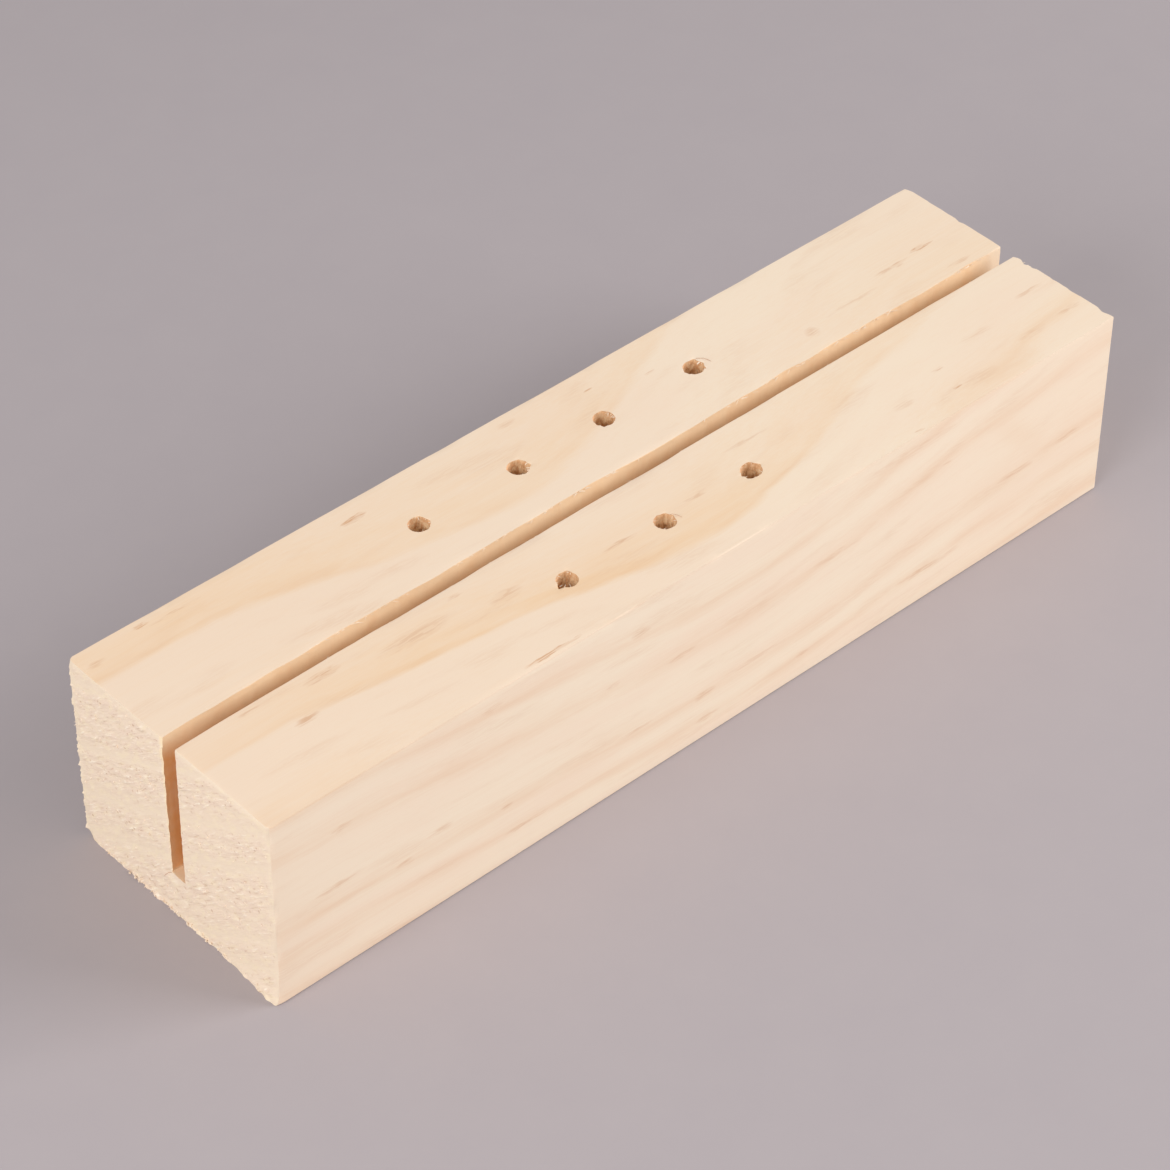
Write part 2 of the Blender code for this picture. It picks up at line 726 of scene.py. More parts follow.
@dataclass(frozen=True)
class PlanedPine:
    """Long faces: pale wood, tan latewood, fine fibres, short brown resin ducts, a soft stain and painted
    shade.
    """

    figure: GrowthFigure
    top: float
    front: float

    pale: Colour = linear(243, 225, 202)
    blush: Colour = linear(242, 219, 196)
    # The colour of the painted shade on the top and towards both ends
    painted_shade: Colour = linear(238, 213, 189)
    tan: Colour = linear(237, 202, 163)
    rosy: Colour = linear(234, 201, 170)
    brown: Colour = linear(222, 178, 142)
    resin: Colour = linear(206, 151, 105)

    # How much painted shade lies along the block: on the top, which is painted a shade darker than the
    # sides, and on every long face towards both ends
    top_shade: Curve = (
        (-75.0, 0.82), (-20.0, 0.65), (5.0, 0.5), (28.0, 0.3), (45.0, 0.3), (60.0, 0.42), (75.0, 0.42),
    )
    ends_shade: Curve = ((-75.0, 0.45), (-42.0, 0.0), (42.0, 0.0), (58.0, 0.26), (75.0, 0.26))
    top_band: tuple[float, float] = (0.4, 0.1)

    # Fibres and latewood
    streak: Grain = Grain(26.0, 0.4, 0.4, 3.0, 0.65)
    hair: Grain = Grain(6.0, 0.16, 0.16, 2.0, 0.6)
    cloud: Grain = Grain(32.0, 5.0, 12.0)
    swell: Grain = Grain(13.0, 1.5, 4.0)
    clouded: Span = (0.42, 0.72, 0.0, 0.8)
    shade_swell: Span = (0.3, 0.65, 0.6, 1.0)
    line_swell: Span = (0.4, 0.66)
    streak_share: float = 0.8
    hair_share: float = 0.7
    fibre_share: float = 0.6
    line_share: float = 0.55

    # Resin ducts
    crowd: Grain = Grain(17.0, 2.4, 5.0, 1.0)
    speck: Grain = Grain(2.2, 0.2, 0.2, 1.5)
    rag: Grain = Grain(2.2, 0.4, 0.4)
    crowded: Span = (0.56, 0.72, 0.0, 0.18)
    specked: Span = (0.45, 0.55, 0.3, 1.0)
    duct_share: float = 0.74
    fleck_depth: float = 2.5
    fleck_rag: float = 1.1
    top_flecks: tuple[Fleck, ...] = (
        Fleck(-64.4, 19, 3, 0.6, 1.4), Fleck(-72.8, 17.2, 3.5, 1, 0.5), Fleck(-31.1, 17.1, 4.6, 1.2, 1.4),
        Fleck(-53, -3.4, 6.6, 1.7, 0.9), Fleck(-39.4, -5.6, 14, 2.8, 0.5), Fleck(-59.4, -8.4, 4.4, 1.4, 0.8),
        Fleck(-26, -7.5, 6, 2.4, 0.5), Fleck(-8.3, -9.7, 6.5, 0.8, 0.7), Fleck(-28.5, -19.5, 10, 0.8, 1.5),
        Fleck(9.7, 16.5, 1.8, 0.7, 0.9), Fleck(60, 8.3, 7, 0.8, 0.8), Fleck(66.5, 8.9, 5, 0.9, 1.3),
        Fleck(41.4, 5.2, 2.8, 2.2, 0.5), Fleck(68, 3, 5, 0.8, 0.6), Fleck(5.5, -9.4, 5, 0.8, 0.5),
        Fleck(48.3, -12, 2.4, 0.6, 0.7), Fleck(58, -10.2, 7, 1.6, 0.3), Fleck(51.4, -17, 8, 2.6, 0.3),
        Fleck(71.7, -14.7, 5, 1, 0.6), Fleck(37.2, -19.5, 2.2, 0.6, 0.6), Fleck(-63.9, -2.5, 4, 0.8, 0.6),
        Fleck(-31.1, -3.3, 3, 0.7, 0.6), Fleck(-60, 18.4, 10, 0.6, 0.5), Fleck(-3.3, 18.4, 3.5, 1.4, 0.4),
        Fleck(18.6, 13.7, 2.2, 0.6, 0.5), Fleck(50, 6.4, 11, 0.8, 0.35), Fleck(18.3, -5.6, 10, 0.9, 0.4),
        Fleck(39.5, -14.4, 4.5, 1.4, 0.4), Fleck(47.8, -16.4, 2, 0.7, 1), Fleck(70.5, -8.3, 6, 1, 0.5),
        Fleck(64, -15, 6, 2, 0.3),
    )
    front_flecks: tuple[Fleck, ...] = (
        Fleck(-65, 15, 9.5, 1, 0.5), Fleck(-48.3, 13.4, 5.2, 1.2, 0.45), Fleck(-54.2, 11.5, 3.6, 1, 0.5),
        Fleck(-39.4, 28.8, 4, 1, 0.4), Fleck(-13.9, 26.5, 4, 2, 0.5), Fleck(-18.9, 20, 2.8, 0.8, 0.4),
        Fleck(-6.7, 18, 6.5, 0.8, 0.4), Fleck(-37.2, 10.4, 2.4, 1, 0.5), Fleck(-15, 9.4, 7.5, 0.8, 0.35),
        Fleck(-2.2, 8.2, 4.2, 1.6, 0.5), Fleck(-34, 5.2, 8.5, 1, 0.5), Fleck(-1.7, 3.7, 4.6, 1.2, 0.45),
        Fleck(35, 29.2, 21, 2, 0.28), Fleck(22, 19, 10, 1.4, 0.4), Fleck(42.5, 23.2, 2.6, 0.8, 0.4),
        Fleck(7, 8.9, 14, 0.9, 0.35), Fleck(57, 13.3, 9, 1.4, 0.45), Fleck(67.5, 14.3, 6, 1.4, 0.45),
        Fleck(40, 5.8, 14, 1.2, 0.6), Fleck(16, 4.3, 3, 0.8, 0.4), Fleck(-63.9, 24.4, 4, 1.2, 0.45),
    )
    stain: Stain = Stain((57.0, -20.0, 20.2), (0.75, 0.0, 0.66), (3.2, 7.5), 0.22)

    # The surface under the light
    roughness: Span = (0.3, 0.7, 0.62, 0.74)
    gloss: float = 0.3
    streak_rise: float = 0.8
    duct_sink: float = 0.3
    relief: tuple[float, float] = (0.06, 0.4)

    def flecked(self, bench: NodeBench) -> Socket:
        """How thick the resin ducts lie at a point.

        Args:
            bench: The material's nodes.

        Returns:
            From 0 to 1, the depth of the darkest cluster there, which fades out towards its ragged rim.
        """
        place = bench.millimetres()
        x, y, z = bench.parts(place)
        ragged = bench.noise(place, self.rag)
        ragged = bench.math("MULTIPLY_ADD", ragged, self.fleck_rag, -self.fleck_rag / 2)
        spot = bench.place(x, bench.math("ADD", y, ragged), bench.math("ADD", z, ragged))
        deep = self.fleck_depth
        marks = []
        for mark in self.top_flecks:
            middle = (mark.along, mark.across, self.top)
            marks.append((mark.depth, middle, (mark.length, mark.width, deep)))
        for mark in self.front_flecks:
            middle = (mark.along, self.front, mark.across)
            marks.append((mark.depth, middle, (mark.length, deep, mark.width)))
        found: Feed = 0.0
        for depth, centre, size in marks:
            scale = tuple(2.0 / side for side in size)
            start = tuple(-part * share for part, share in zip(centre, scale))
            apart = bench.vector("MULTIPLY_ADD", spot, scale, start).outputs[0]
            faded = bench.math("MULTIPLY_ADD", bench.dot(apart, apart), -depth, depth)
            found = bench.math("MAXIMUM", found, faded)
        return bench.span(found, 0.0, 1.0)

    def stained(self, bench: NodeBench) -> Socket:
        """How much of the stain shows at a point.

        Args:
            bench: The material's nodes.

        Returns:
            The share of the stain's colour.
        """
        apart = bench.vector("SUBTRACT", bench.millimetres(), self.stain.middle).outputs[0]
        wide = bench.math("DIVIDE", bench.dot(apart, self.stain.across), self.stain.reach[0])
        high = bench.math("DIVIDE", bench.parts(apart)[2], self.stain.reach[1])
        square = bench.math("MULTIPLY_ADD", wide, wide, bench.times(high, high))
        soft = bench.span(square, 0.0, 1.0, 1.0, 0.0)
        return bench.times(bench.times(soft, soft), self.stain.share)

    def wood(self, bench: NodeBench, found: Figure, streak: Socket) -> Socket:
        """The wood's colour without its resin, with painted shade on the top and towards both ends.

        Args:
            bench: The material's nodes.
            found: The growth layers.
            streak: The coarse fibres.

        Returns:
            The colour.
        """
        fibre = bench.times(bench.centred(streak), self.streak_share)
        hair = bench.centred(bench.noise(found.grain, self.hair))
        fibre = bench.math("MULTIPLY_ADD", hair, self.hair_share, fibre)
        swell = bench.noise(found.grain, self.swell)
        shade = bench.times(found.shade, bench.span(swell, *self.shade_swell))
        line = bench.times(found.line, bench.span(swell, *self.line_swell))
        cloud = bench.noise(found.grain, self.cloud)
        colour = bench.mix(bench.span(cloud, *self.clouded), self.pale, self.blush)
        x, _, z = bench.parts(bench.millimetres())
        upper = bench.span(z, self.top - self.top_band[0], self.top - self.top_band[1])
        # Painted shade: the top a shade darker than the sides, and every long face darker towards both ends,
        # to even out the light the faces get
        painted_shade = bench.times(upper, bench.curve(x, self.top_shade))
        painted_shade = bench.math("MAXIMUM", painted_shade, bench.curve(x, self.ends_shade))
        colour = bench.mix(painted_shade, colour, self.painted_shade)
        latewood = bench.mix(upper, self.rosy, self.tan)
        shade = bench.math("MULTIPLY_ADD", fibre, self.fibre_share, shade, clamp=True)
        colour = bench.mix(shade, colour, latewood)
        colour = bench.mix(self.stained(bench), colour, self.rosy)
        return bench.mix(bench.times(line, self.line_share), colour, self.brown)

    def material(self) -> bpy.types.Material:
        """Builds the material.

        Returns:
            The finished material.
        """
        bench = NodeBench("planed_pine")
        found = self.figure.lay(bench)
        streak = bench.noise(found.grain, self.streak)
        crowd = bench.span(bench.noise(found.grain, self.crowd), *self.crowded)
        speck = bench.span(bench.noise(bench.millimetres(), self.speck), *self.specked)
        duct = bench.times(bench.math("MAXIMUM", self.flecked(bench), crowd), speck)
        colour = bench.mix(bench.times(duct, self.duct_share), self.wood(bench, found, streak), self.resin)
        rise, sink = bench.times(streak, self.streak_rise), bench.times(duct, self.duct_sink)
        bench.bump(bench.math("SUBTRACT", rise, sink), *self.relief)
        return bench.surface(colour, bench.span(streak, *self.roughness), self.gloss)


@dataclass(frozen=True)
class SawnEndGrain:
    """Ends: the same layers cut across, torn into crumbs between them and cut clean at the latewood."""

    figure: GrowthFigure
    side: float
    top: float

    pale: Colour = linear(235, 217, 194)
    tan: Colour = linear(230, 205, 180)
    blush: Colour = linear(234, 209, 191)
    cream: Colour = linear(240, 222, 191)
    # The pits' colour is painted shade in the sunk grit, and also colours the dark dots; the crumbs' colour
    # is partly painted highlight on the raised grit
    pit: Colour = linear(182, 138, 104)
    crumb: Colour = linear(251, 238, 218)
    bead: Colour = linear(246, 224, 186)

    # Where the layers tore, and how much of it shows
    clean_rim: Span = (0.2, 1.3)
    patch: Grain = Grain(40.0, 1.6, 6.0)
    patchy: Span = (0.3, 0.6, 0.35, 1.0)
    line_share: float = 0.4
    torn_share: float = 0.55

    # The saw's marks: the raised grit is painted paler as crumbs, partly the torn fibres' own tone and
    # partly painted highlight, and the sunk grit darker as pits, which is painted shade
    grit: Grain = Grain(1.0, 0.55, 2.8, 2.5, 0.6)
    fine: Grain = Grain(1.0, 0.26, 1.3)
    mottle: Grain = Grain(1.0, 1.3, 2.4, 2.0, 0.6)
    darkened: Span = (0.35, 0.7, 0.0, 0.3)
    mottled: Span = (0.48, 0.64, 0.0, 0.5)
    crumbled: Span = (0.56, 0.72)
    pitted: Span = (0.42, 0.28)
    pit_torn: float = 0.8
    pit_clean: float = 0.05
    pit_share: float = 0.5
    dot_size: Place = (3.0, 0.8, 1.0)
    dots: tuple[float, float, float] = (0.09, 0.3, 0.6)
    dot_share: float = 0.6

    # The pale bead along the slot's back lip
    bead_outside: Span = (1.25, 1.65, 0.8, 0.0)
    bead_inside: Span = (0.9, 1.0)
    bead_foot: Span = (7.0, 7.6)

    # The surface under the light
    roughness: float = 0.85
    gloss: float = 0.2
    fine_rise: float = 0.15
    relief: tuple[float, float] = (0.26, 0.82)

    def tornness(self, bench: NodeBench, found: Figure, y: Socket, z: Socket) -> Socket:
        """How much the saw tore the wood at a point.

        Args:
            bench: The material's nodes.
            found: The growth layers.
            y: The place across the block.
            z: The height.

        Returns:
            From 0, cut clean, to 1.
        """
        torn = bench.ramp(found.layer, self.figure.tearing())
        torn = bench.times(torn, bench.span(bench.noise(found.grain, self.patch), *self.patchy))
        rim = bench.math("SUBTRACT", self.side, bench.math("ABSOLUTE", y))
        rim = bench.math("MINIMUM", rim, bench.math("SUBTRACT", self.top, z))
        return bench.times(torn, bench.span(rim, *self.clean_rim))

    def material(self) -> bpy.types.Material:
        """Builds the material.

        Returns:
            The finished material.
        """
        bench = NodeBench("sawn_end_grain")
        found = self.figure.lay(bench)
        x, y, z = bench.parts(bench.millimetres())
        torn = self.tornness(bench, found, y, z)
        over = bench.math("MULTIPLY_ADD", y, self.figure.saw_way, z)
        along = bench.math("MULTIPLY_ADD", z, self.figure.saw_way, bench.times(y, -1.0))
        sawn = bench.place(x, over, along)
        grit, fine, mottle = (bench.noise(sawn, grain) for grain in (self.grit, self.fine, self.mottle))
        colour = bench.mix(bench.times(found.line, self.line_share), self.pale, self.tan)
        colour = bench.mix(bench.times(torn, self.torn_share), colour, self.blush)
        colour = bench.mix(bench.span(fine, *self.darkened), colour, self.tan)
        colour = bench.mix(bench.span(mottle, *self.mottled), colour, self.cream)
        # Paler crumbs on the raised grit, partly the torn fibres' own tone and partly painted highlight,
        # then painted shade in the pits of the sunk grit
        colour = bench.mix(bench.times(bench.span(grit, *self.crumbled), torn), colour, self.crumb)
        pits = bench.math("MULTIPLY_ADD", torn, self.pit_torn, self.pit_clean)
        pits = bench.times(bench.span(grit, *self.pitted), pits)
        colour = bench.mix(bench.times(pits, self.pit_share), colour, self.pit)
        dots = bench.flecks(bench.scaled(found.grain, *self.dot_size), *self.dots)
        colour = bench.mix(bench.times(dots, bench.times(torn, self.dot_share)), colour, self.pit)
        bead = bench.times(bench.span(y, *self.bead_outside), bench.span(y, *self.bead_inside))
        colour = bench.mix(bench.times(bead, bench.span(z, *self.bead_foot)), colour, self.bead)
        bench.bump(bench.math("MULTIPLY_ADD", fine, self.fine_rise, bench.times(grit, torn)), *self.relief)
        return bench.surface(colour, self.roughness, self.gloss)


@dataclass(frozen=True)
class SawnKerf:
    """Slot: walls left by the saw, with the blade's fine lines, painted shade that darkens and warms them
    deeper down, and painted light at the far open end.
    """

    figure: GrowthFigure

    pale: Colour = linear(253, 225, 188)
    tan: Colour = linear(246, 211, 170)
    # Painted light at the far open end of the slot
    painted_light: Colour = linear(238, 217, 192)
    rubbed: Colour = linear(233, 199, 161)
    # Painted shade, darker and warmer down the slot
    slot_shade: Colour = linear(238, 176, 112)

    # Where the painted shade down the slot, a browner tone near the lip and towards the near end, and the
    # painted light at the far open end lie, by height or along the block
    lit_depth: Span = (25.0, 28.4, 1.0, 0.0)
    mouth: Span = (74.0, 75.0, 1.0, 0.8)
    floor: Span = (7.55, 8.0, 0.0, 1.0)
    near_rise: Span = (-75.0, -70.5, 2.6, 0.0)
    lip: Span = (30.2, 31.2, 0.0, 0.6)
    near_mouth: Span = (-75.0, -52.0, 0.6, 0.0)
    far_mouth: Span = (68.5, 73.5, 0.0, 0.9)

    # The blade's marks
    marks: Grain = Grain(1.1, 14.0, 14.0)
    smear: Grain = Grain(2.6, 4.0, 4.0, 2.5, 0.6)
    smeared: Span = (0.45, 0.7, 0.0, 0.7)
    # How unevenly the painted shade lies down the slot
    shade_smear: Span = (0.3, 0.6, 0.6, 1.0)
    mark_share: float = 0.9
    tan_share: float = 0.8

    # The surface under the light
    roughness: float = 0.8
    gloss: float = 0.2
    relief: tuple[float, float] = (0.1, 0.6)

    def material(self) -> bpy.types.Material:
        """Builds the material.

        Returns:
            The finished material.
        """
        bench = NodeBench("sawn_kerf")
        found = self.figure.lay(bench)
        marks, smear = bench.noise(found.grain, self.marks), bench.noise(found.grain, self.smear)
        share = bench.math("MULTIPLY_ADD", bench.centred(marks), self.mark_share, found.shade)
        share = bench.math("ADD", share, bench.span(smear, *self.smeared))
        share = bench.math("MULTIPLY", share, self.tan_share, clamp=True)
        colour = bench.mix(share, self.pale, self.tan)
        x, _, z = bench.parts(bench.millimetres())
        # A browner tone near the lip and towards the near end
        rubbed = bench.math("MAXIMUM", bench.span(z, *self.lip), bench.span(x, *self.near_mouth))
        colour = bench.mix(rubbed, colour, self.rubbed)
        # Painted shade: darker and warmer below the lit depth, starting higher near the near end, a little
        # weaker at both mouths and none on the slot's floor
        raised = bench.math("SUBTRACT", z, bench.span(x, *self.near_rise))
        depth = bench.times(bench.span(raised, *self.lit_depth), bench.span(z, *self.floor))
        depth = bench.times(depth, bench.span(bench.math("ABSOLUTE", x), *self.mouth))
        colour = bench.mix(bench.times(depth, bench.span(smear, *self.shade_smear)), colour, self.slot_shade)
        # Painted light: walls and floor paler towards the far open end
        colour = bench.mix(bench.span(x, *self.far_mouth), colour, self.painted_light)
        bench.bump(bench.math("ADD", marks, smear), *self.relief)
        return bench.surface(colour, self.roughness, self.gloss)


class Hole(NamedTuple):
    """One drilled hole's centre on the top face."""

    x: float
    y: float


@dataclass(frozen=True)
class DrilledBore:
    """Holes: walls torn by the drill, pale where fibres end and brown where it rubbed, with painted shade
    low down and painted light on the wall that faces the right softbox.
    """

    holes: tuple[Hole, ...]
    top: float

    pale: Colour = linear(255, 226, 184)
    rubbed: Colour = linear(216, 168, 122)
    burnished: Colour = linear(210, 163, 121)
    # Painted shade low in each hole
    deep: Colour = linear(158, 106, 64)
    # Painted light on the wall of each hole that faces the right softbox
    painted_light: Colour = linear(253, 205, 160)

    # Where the burnish and the painted shade low in each hole lie by height, and the painted light about a
    # spot on the wall of each hole that faces the right softbox
    mouth: Span = (30.2, 31.1, 0.0, 0.65)
    depths: Span = (25.5, 29.0, 0.6, 0.0)
    lit_spot: Place = (-1.2, 0.9, -0.9)
    lit_reach: Span = (0.6, 1.7, 0.9, 0.0)

    # The drill's marks
    torn: Grain = Grain(0.45, 0.45, 1.0, 2.5, 0.6)
    ridge: Grain = Grain(0.8, 0.8, 0.35)
    rubbing: Span = (0.42, 0.6)
    ridged: Span = (0.3, 0.7, 0.6, 1.0)

    # The surface under the light
    roughness: float = 0.85
    gloss: float = 0.2
    ridge_rise: float = 0.4
    relief: tuple[float, float] = (0.22, 0.6)

    def lit_side(self, bench: NodeBench, spot: Socket) -> Socket:
        """How much painted light shows, on the wall of each hole that faces the right softbox.

        Args:
            bench: The material's nodes.
            spot: The point in millimetres.

        Returns:
            From 0 to 1, the share of the painted light's colour.
        """
        found: Feed = 0.0
        for hole in self.holes:
            middle = tuple(a + b for a, b in zip((hole.x, hole.y, self.top), self.lit_spot))
            apart = bench.vector("DISTANCE", spot, middle).outputs["Value"]
            found = bench.math("MAXIMUM", found, bench.span(apart, *self.lit_reach))
        return found

    def material(self) -> bpy.types.Material:
        """Builds the material.

        Returns:
            The finished material.
        """
        bench = NodeBench("drilled_bore")
        spot = bench.millimetres()
        torn, ridge = bench.noise(spot, self.torn), bench.noise(spot, self.ridge)
        height = bench.parts(spot)[2]
        colour = bench.mix(bench.span(torn, *self.rubbing), self.pale, self.rubbed)
        colour = bench.mix(bench.span(height, *self.mouth), colour, self.burnished)
        # Painted light on the wall that faces the right softbox
        colour = bench.mix(self.lit_side(bench, spot), colour, self.painted_light)
        # Painted shade low in each hole, in streaks
        depth = bench.times(bench.span(height, *self.depths), bench.span(ridge, *self.ridged))
        colour = bench.mix(depth, colour, self.deep)
        bench.bump(bench.math("MULTIPLY_ADD", ridge, self.ridge_rise, torn), *self.relief)
        return bench.surface(colour, self.roughness, self.gloss)


@dataclass(frozen=True)
class LooseFibre:
    """Torn fibres and crumbs: bare wood, browner in places."""

    name: str
    pale: Colour
    brown: Colour
    blotch: Grain = Grain(1.0, 1.0, 1.0, 1.0)
    browned: Span = (0.45, 0.8)
    roughness: float = 0.8
    gloss: float = 0.2

    def material(self) -> bpy.types.Material:
        """Builds the material.

        Returns:
            The finished material.
        """
        bench = NodeBench(self.name)
        shade = bench.span(bench.noise(bench.millimetres(), self.blotch), *self.browned)
        return bench.surface(bench.mix(shade, self.pale, self.brown), self.roughness, self.gloss)


PALE_FIBRE = LooseFibre("pale_fibre", linear(242, 224, 203), linear(237, 215, 191))
BROWN_FIBRE = LooseFibre("brown_fibre", linear(200, 154, 122), linear(178, 130, 98))


@dataclass(frozen=True)
class StudioPaper:
    """Floor: matt grey paper with the faintest mottle."""

    grey: Colour = linear(178, 169, 171)
    shade: Colour = linear(174, 165, 168)
    mottle: Grain = Grain(11.0, 11.0, 11.0, 4.0, 0.65)
    roughness: float = 0.95
    gloss: float = 0.1

    def material(self) -> bpy.types.Material:
        """Builds the material.

        Returns:
            The finished material.
        """
        bench = NodeBench("studio_paper")
        colour = bench.mix(bench.noise(bench.millimetres(), self.mottle), self.grey, self.shade)
        return bench.surface(colour, self.roughness, self.gloss)


class Chip(NamedTuple):
    """A splinter broken from the far end's top edge: its middle across the block, its width and depth."""

    y: float
    width: float
    depth: float


class Notch(NamedTuple):
    """A splinter broken from a hole's rim: its way from the axis, half its angle and its depth."""

    way: float
    width: float
    depth: float


class Patches(NamedTuple):
    """Uneven wear: its mean, how much it swings, how long its patches are, and its limits."""

    mean: float
    swing: float
    step: float
    least: float
    most: float


class Face(NamedTuple):
    """One face at an edge: how far in from it the points lie, the axis square to it and the way inwards."""

    gap: np.ndarray
    axis: int
    way: np.ndarray | float


@dataclass
class SlottedBlock:
    """The block: its faces, its slot, its holes, and the roughness that each tool left."""

    length: float
    width: float
    height: float
    slot_width: float = 2.8
    slot_floor: float = 7.5
    hole_diameter: float = 3.0
    hole_depth: float = 18.0
    drill_point_angle: float = 118.0
    hole_pitch: float = 16.4
    row_spacing: float = 21.0
    back_row_stray: tuple[float, ...] = (-0.8, 0.1, -1.0, -0.8)
    front_row_stray: tuple[float, ...] = (-1.7, -1.0, -1.7)

    # The cells of the mesh, where those round the section are multiples of the thinning
    end_band: float = 3.0
    end_rings: int = 11
    band_gap: float = 1.0
    coarse_step: float = 1.5
    side_cells: int = 63
    kerf_cells: int = 9
    floor_cells: int = 24
    wall_cells: int = 81
    patch_cells: int = 7
    collar_width: float = 0.9
    upper_rings: tuple[float, float, int] = (0.12, 3.0, 10)
    lower_rings: tuple[float, int] = (4.0, 10)
    tip_rings: tuple[float, ...] = (0.66, 0.33)

    # How far the edges are worn down, and how far in from the edge that reaches
    edge_ease: float = 0.035
    edge_reach: float = 0.15
    base_ease: float = 0.14
    base_reach: float = 0.4
    lip_ease: float = 0.05
    lip_reach: float = 0.28
    end_ease: float = 0.13
    end_reach: float = 0.5
    corner_ease: float = 0.22
    corner_reach: float = 0.7
    long_wear: Patches = Patches(0.25, 1.5, 6.0, 0.1, 1.2)
    cross_wear: Patches = Patches(0.8, 0.6, 2.5, 0.3, 1.3)
    front_wear: Curve = ((-75.0, 0.5), (-45.0, 0.6), (-35.0, 1.0), (15.0, 1.0), (35.0, 0.4), (75.0, 0.3))
    end_wear: Curve = (
        (-19.5, 0.5), (-17.0, 1.0), (-4.0, 1.0), (-1.4, 0.35), (1.4, 0.3), (4.0, 0.4), (20.0, 0.3),
    )
    back_corner: tuple[float, float, float] = (0.2, 0.7, 1.6)

    # How the slot's saw strayed
    lean: float = 0.012
    wander: float = 0.06
    slow_wander: Place = (14.0, 30.0, 9.0)
    quick_wander: Place = (3.6, 2.0, 30.0)
    wander_reach: float = 4.0
    entry: tuple[float, float] = (0.3, 12.0)
    lip_wave: tuple[float, float, float] = (0.3, 4.5, 1.5)

    # How the holes' rims broke, hole by hole, and how their walls tore, each hole's noise a gap further on
    rim_notches: tuple[tuple[Notch, ...], ...] = (
        (Notch(48.0, 24.0, 0.25), Notch(-12.0, 18.0, 0.25)),
        (Notch(48.0, 22.0, 0.25), Notch(-18.0, 20.0, 0.4), Notch(150.0, 18.0, 0.15)),
        (Notch(55.0, 26.0, 0.3), Notch(230.0, 18.0, 0.2)),
        (Notch(48.0, 22.0, 0.45), Notch(-5.0, 18.0, 0.3), Notch(178.0, 16.0, 0.2)),
        (Notch(50.0, 24.0, 0.35), Notch(194.0, 20.0, 0.65)),
        (Notch(45.0, 24.0, 0.3), Notch(8.0, 18.0, 0.35)),
        (Notch(60.0, 24.0, 0.25), Notch(5.0, 18.0, 0.35), Notch(180.0, 18.0, 0.4)),
    )
    rim_steps: Curve = ((0.6, 0.25), (0.4, 0.5), (0.25, 0.72), (0.12, 0.88), (0.0, 1.0))
    rim_coarse: Place = (0.7, 0.7, 1.0)
    rim_fine: Place = (0.25, 0.25, 1.0)
    rim_noise_gap: float = 3.7
    rim_shares: tuple[float, float] = (0.25, 0.2)
    rim_most: float = 0.35
    rim_across: float = 0.45
    chip_out: float = 0.9
    chip_down: float = 0.2
    flare_depth: float = 0.5
    sink_depth: float = 0.6
    wall_tear: float = 0.05
    wall_tear_step: Place = (0.7, 0.5, 1.0)
    wall_noise_gap: float = 9.0

    # The grit on both ends
    grit_share: float = 0.6
    grit_coarse: Place = (1.0, 0.8, 2.4)
    grit_fine: Place = (1.0, 0.6, 1.5)
    grit_clean: float = 0.02
    grit_torn: float = 0.13
    torn_patch: Place = (5.0, 1.6, 6.0)
    torn_share: float = 0.6
    clean_rim: float = 0.2
    clean_fade: float = 1.1
    end_depth: float = 0.9

    # The near end's fringe, burr, chipped corner and sunk bead along the slot
    fringe_steps: tuple[float, float] = (0.8, 0.4)
    fringe_mean: float = 0.1
    base_fringe: Curve = (
        (-20.0, 0.3), (-12.0, 0.4), (-10.0, 0.55), (10.0, 0.55), (12.0, 0.25), (20.0, 0.1),
    )
    base_fringe_height: float = 0.6
    back_fringe: float = 0.5
    back_fringe_reach: float = 0.4
    back_fringe_ends: tuple[float, float] = (2.0, 4.0)
    base_burr: Curve = ((-20.2, 0.6), (-16.4, 0.45), (-13.9, 0.27), (-11.4, 0.14), (-7.0, 0.0))
    base_burr_height: float = 2.0
    back_chip: float = 0.6
    back_chip_reach: float = 1.4
    bead: float = 0.25
    bead_reach: float = 0.4
    bead_step: float = 0.9
    bead_swing: tuple[float, float] = (0.6, 0.5)

    # The far end's splintered top edge
    far_chips: tuple[Chip, ...] = (
        Chip(-1.3, 1.1, 0.45), Chip(-3.6, 0.9, 0.4), Chip(-5.0, 0.7, 0.2), Chip(-18.4, 1.2, 0.35),
        Chip(9.5, 0.9, 0.2), Chip(20.2, 1.3, 0.35),
    )
    far_loss: tuple[float, float] = (0.2, 0.08)
    far_loss_step: float = 1.2
    far_loss_height: float = 0.8
    far_loss_depth: float = 2.4

    seed: int = 11
    draft: MeshDraft = field(default_factory=MeshDraft)

    def __post_init__(self) -> None:
        """Works out the stations across the block and draws its noise."""
        side, lip = self.width / 2, self.slot_width / 2
        front = ruled(-side, -lip, self.side_cells, EDGE_RIM, LIP_RIM)
        kerf = np.linspace(-lip, lip, self.kerf_cells + 1)
        self.y_lines = np.concatenate([front, kerf[1:-1], -front[::-1]])
        low = ruled(0.0, self.slot_floor, self.floor_cells, BASE_RIM, NO_RIM)
        high = ruled(self.slot_floor, self.height, self.wall_cells, NO_RIM, EDGE_RIM)
        self.z_lines = np.concatenate([low, high[1:]])
        self.lip_lines = (self.side_cells, self.side_cells + self.kerf_cells)
        self.noise = LatticeNoise(self.seed)

    def holes(self) -> Iterator[Hole]:
        """The holes' centres, the back row from the near end and then the front row.

        Yields:
            Each hole.
        """
        rows = ((self.row_spacing / 2, self.back_row_stray), (-self.row_spacing / 2, self.front_row_stray))
        for y, strays in rows:
            first = -(len(strays) - 1) / 2 * self.hole_pitch
            for count, stray in enumerate(strays):
                yield Hole(first + count * self.hole_pitch + stray, y)

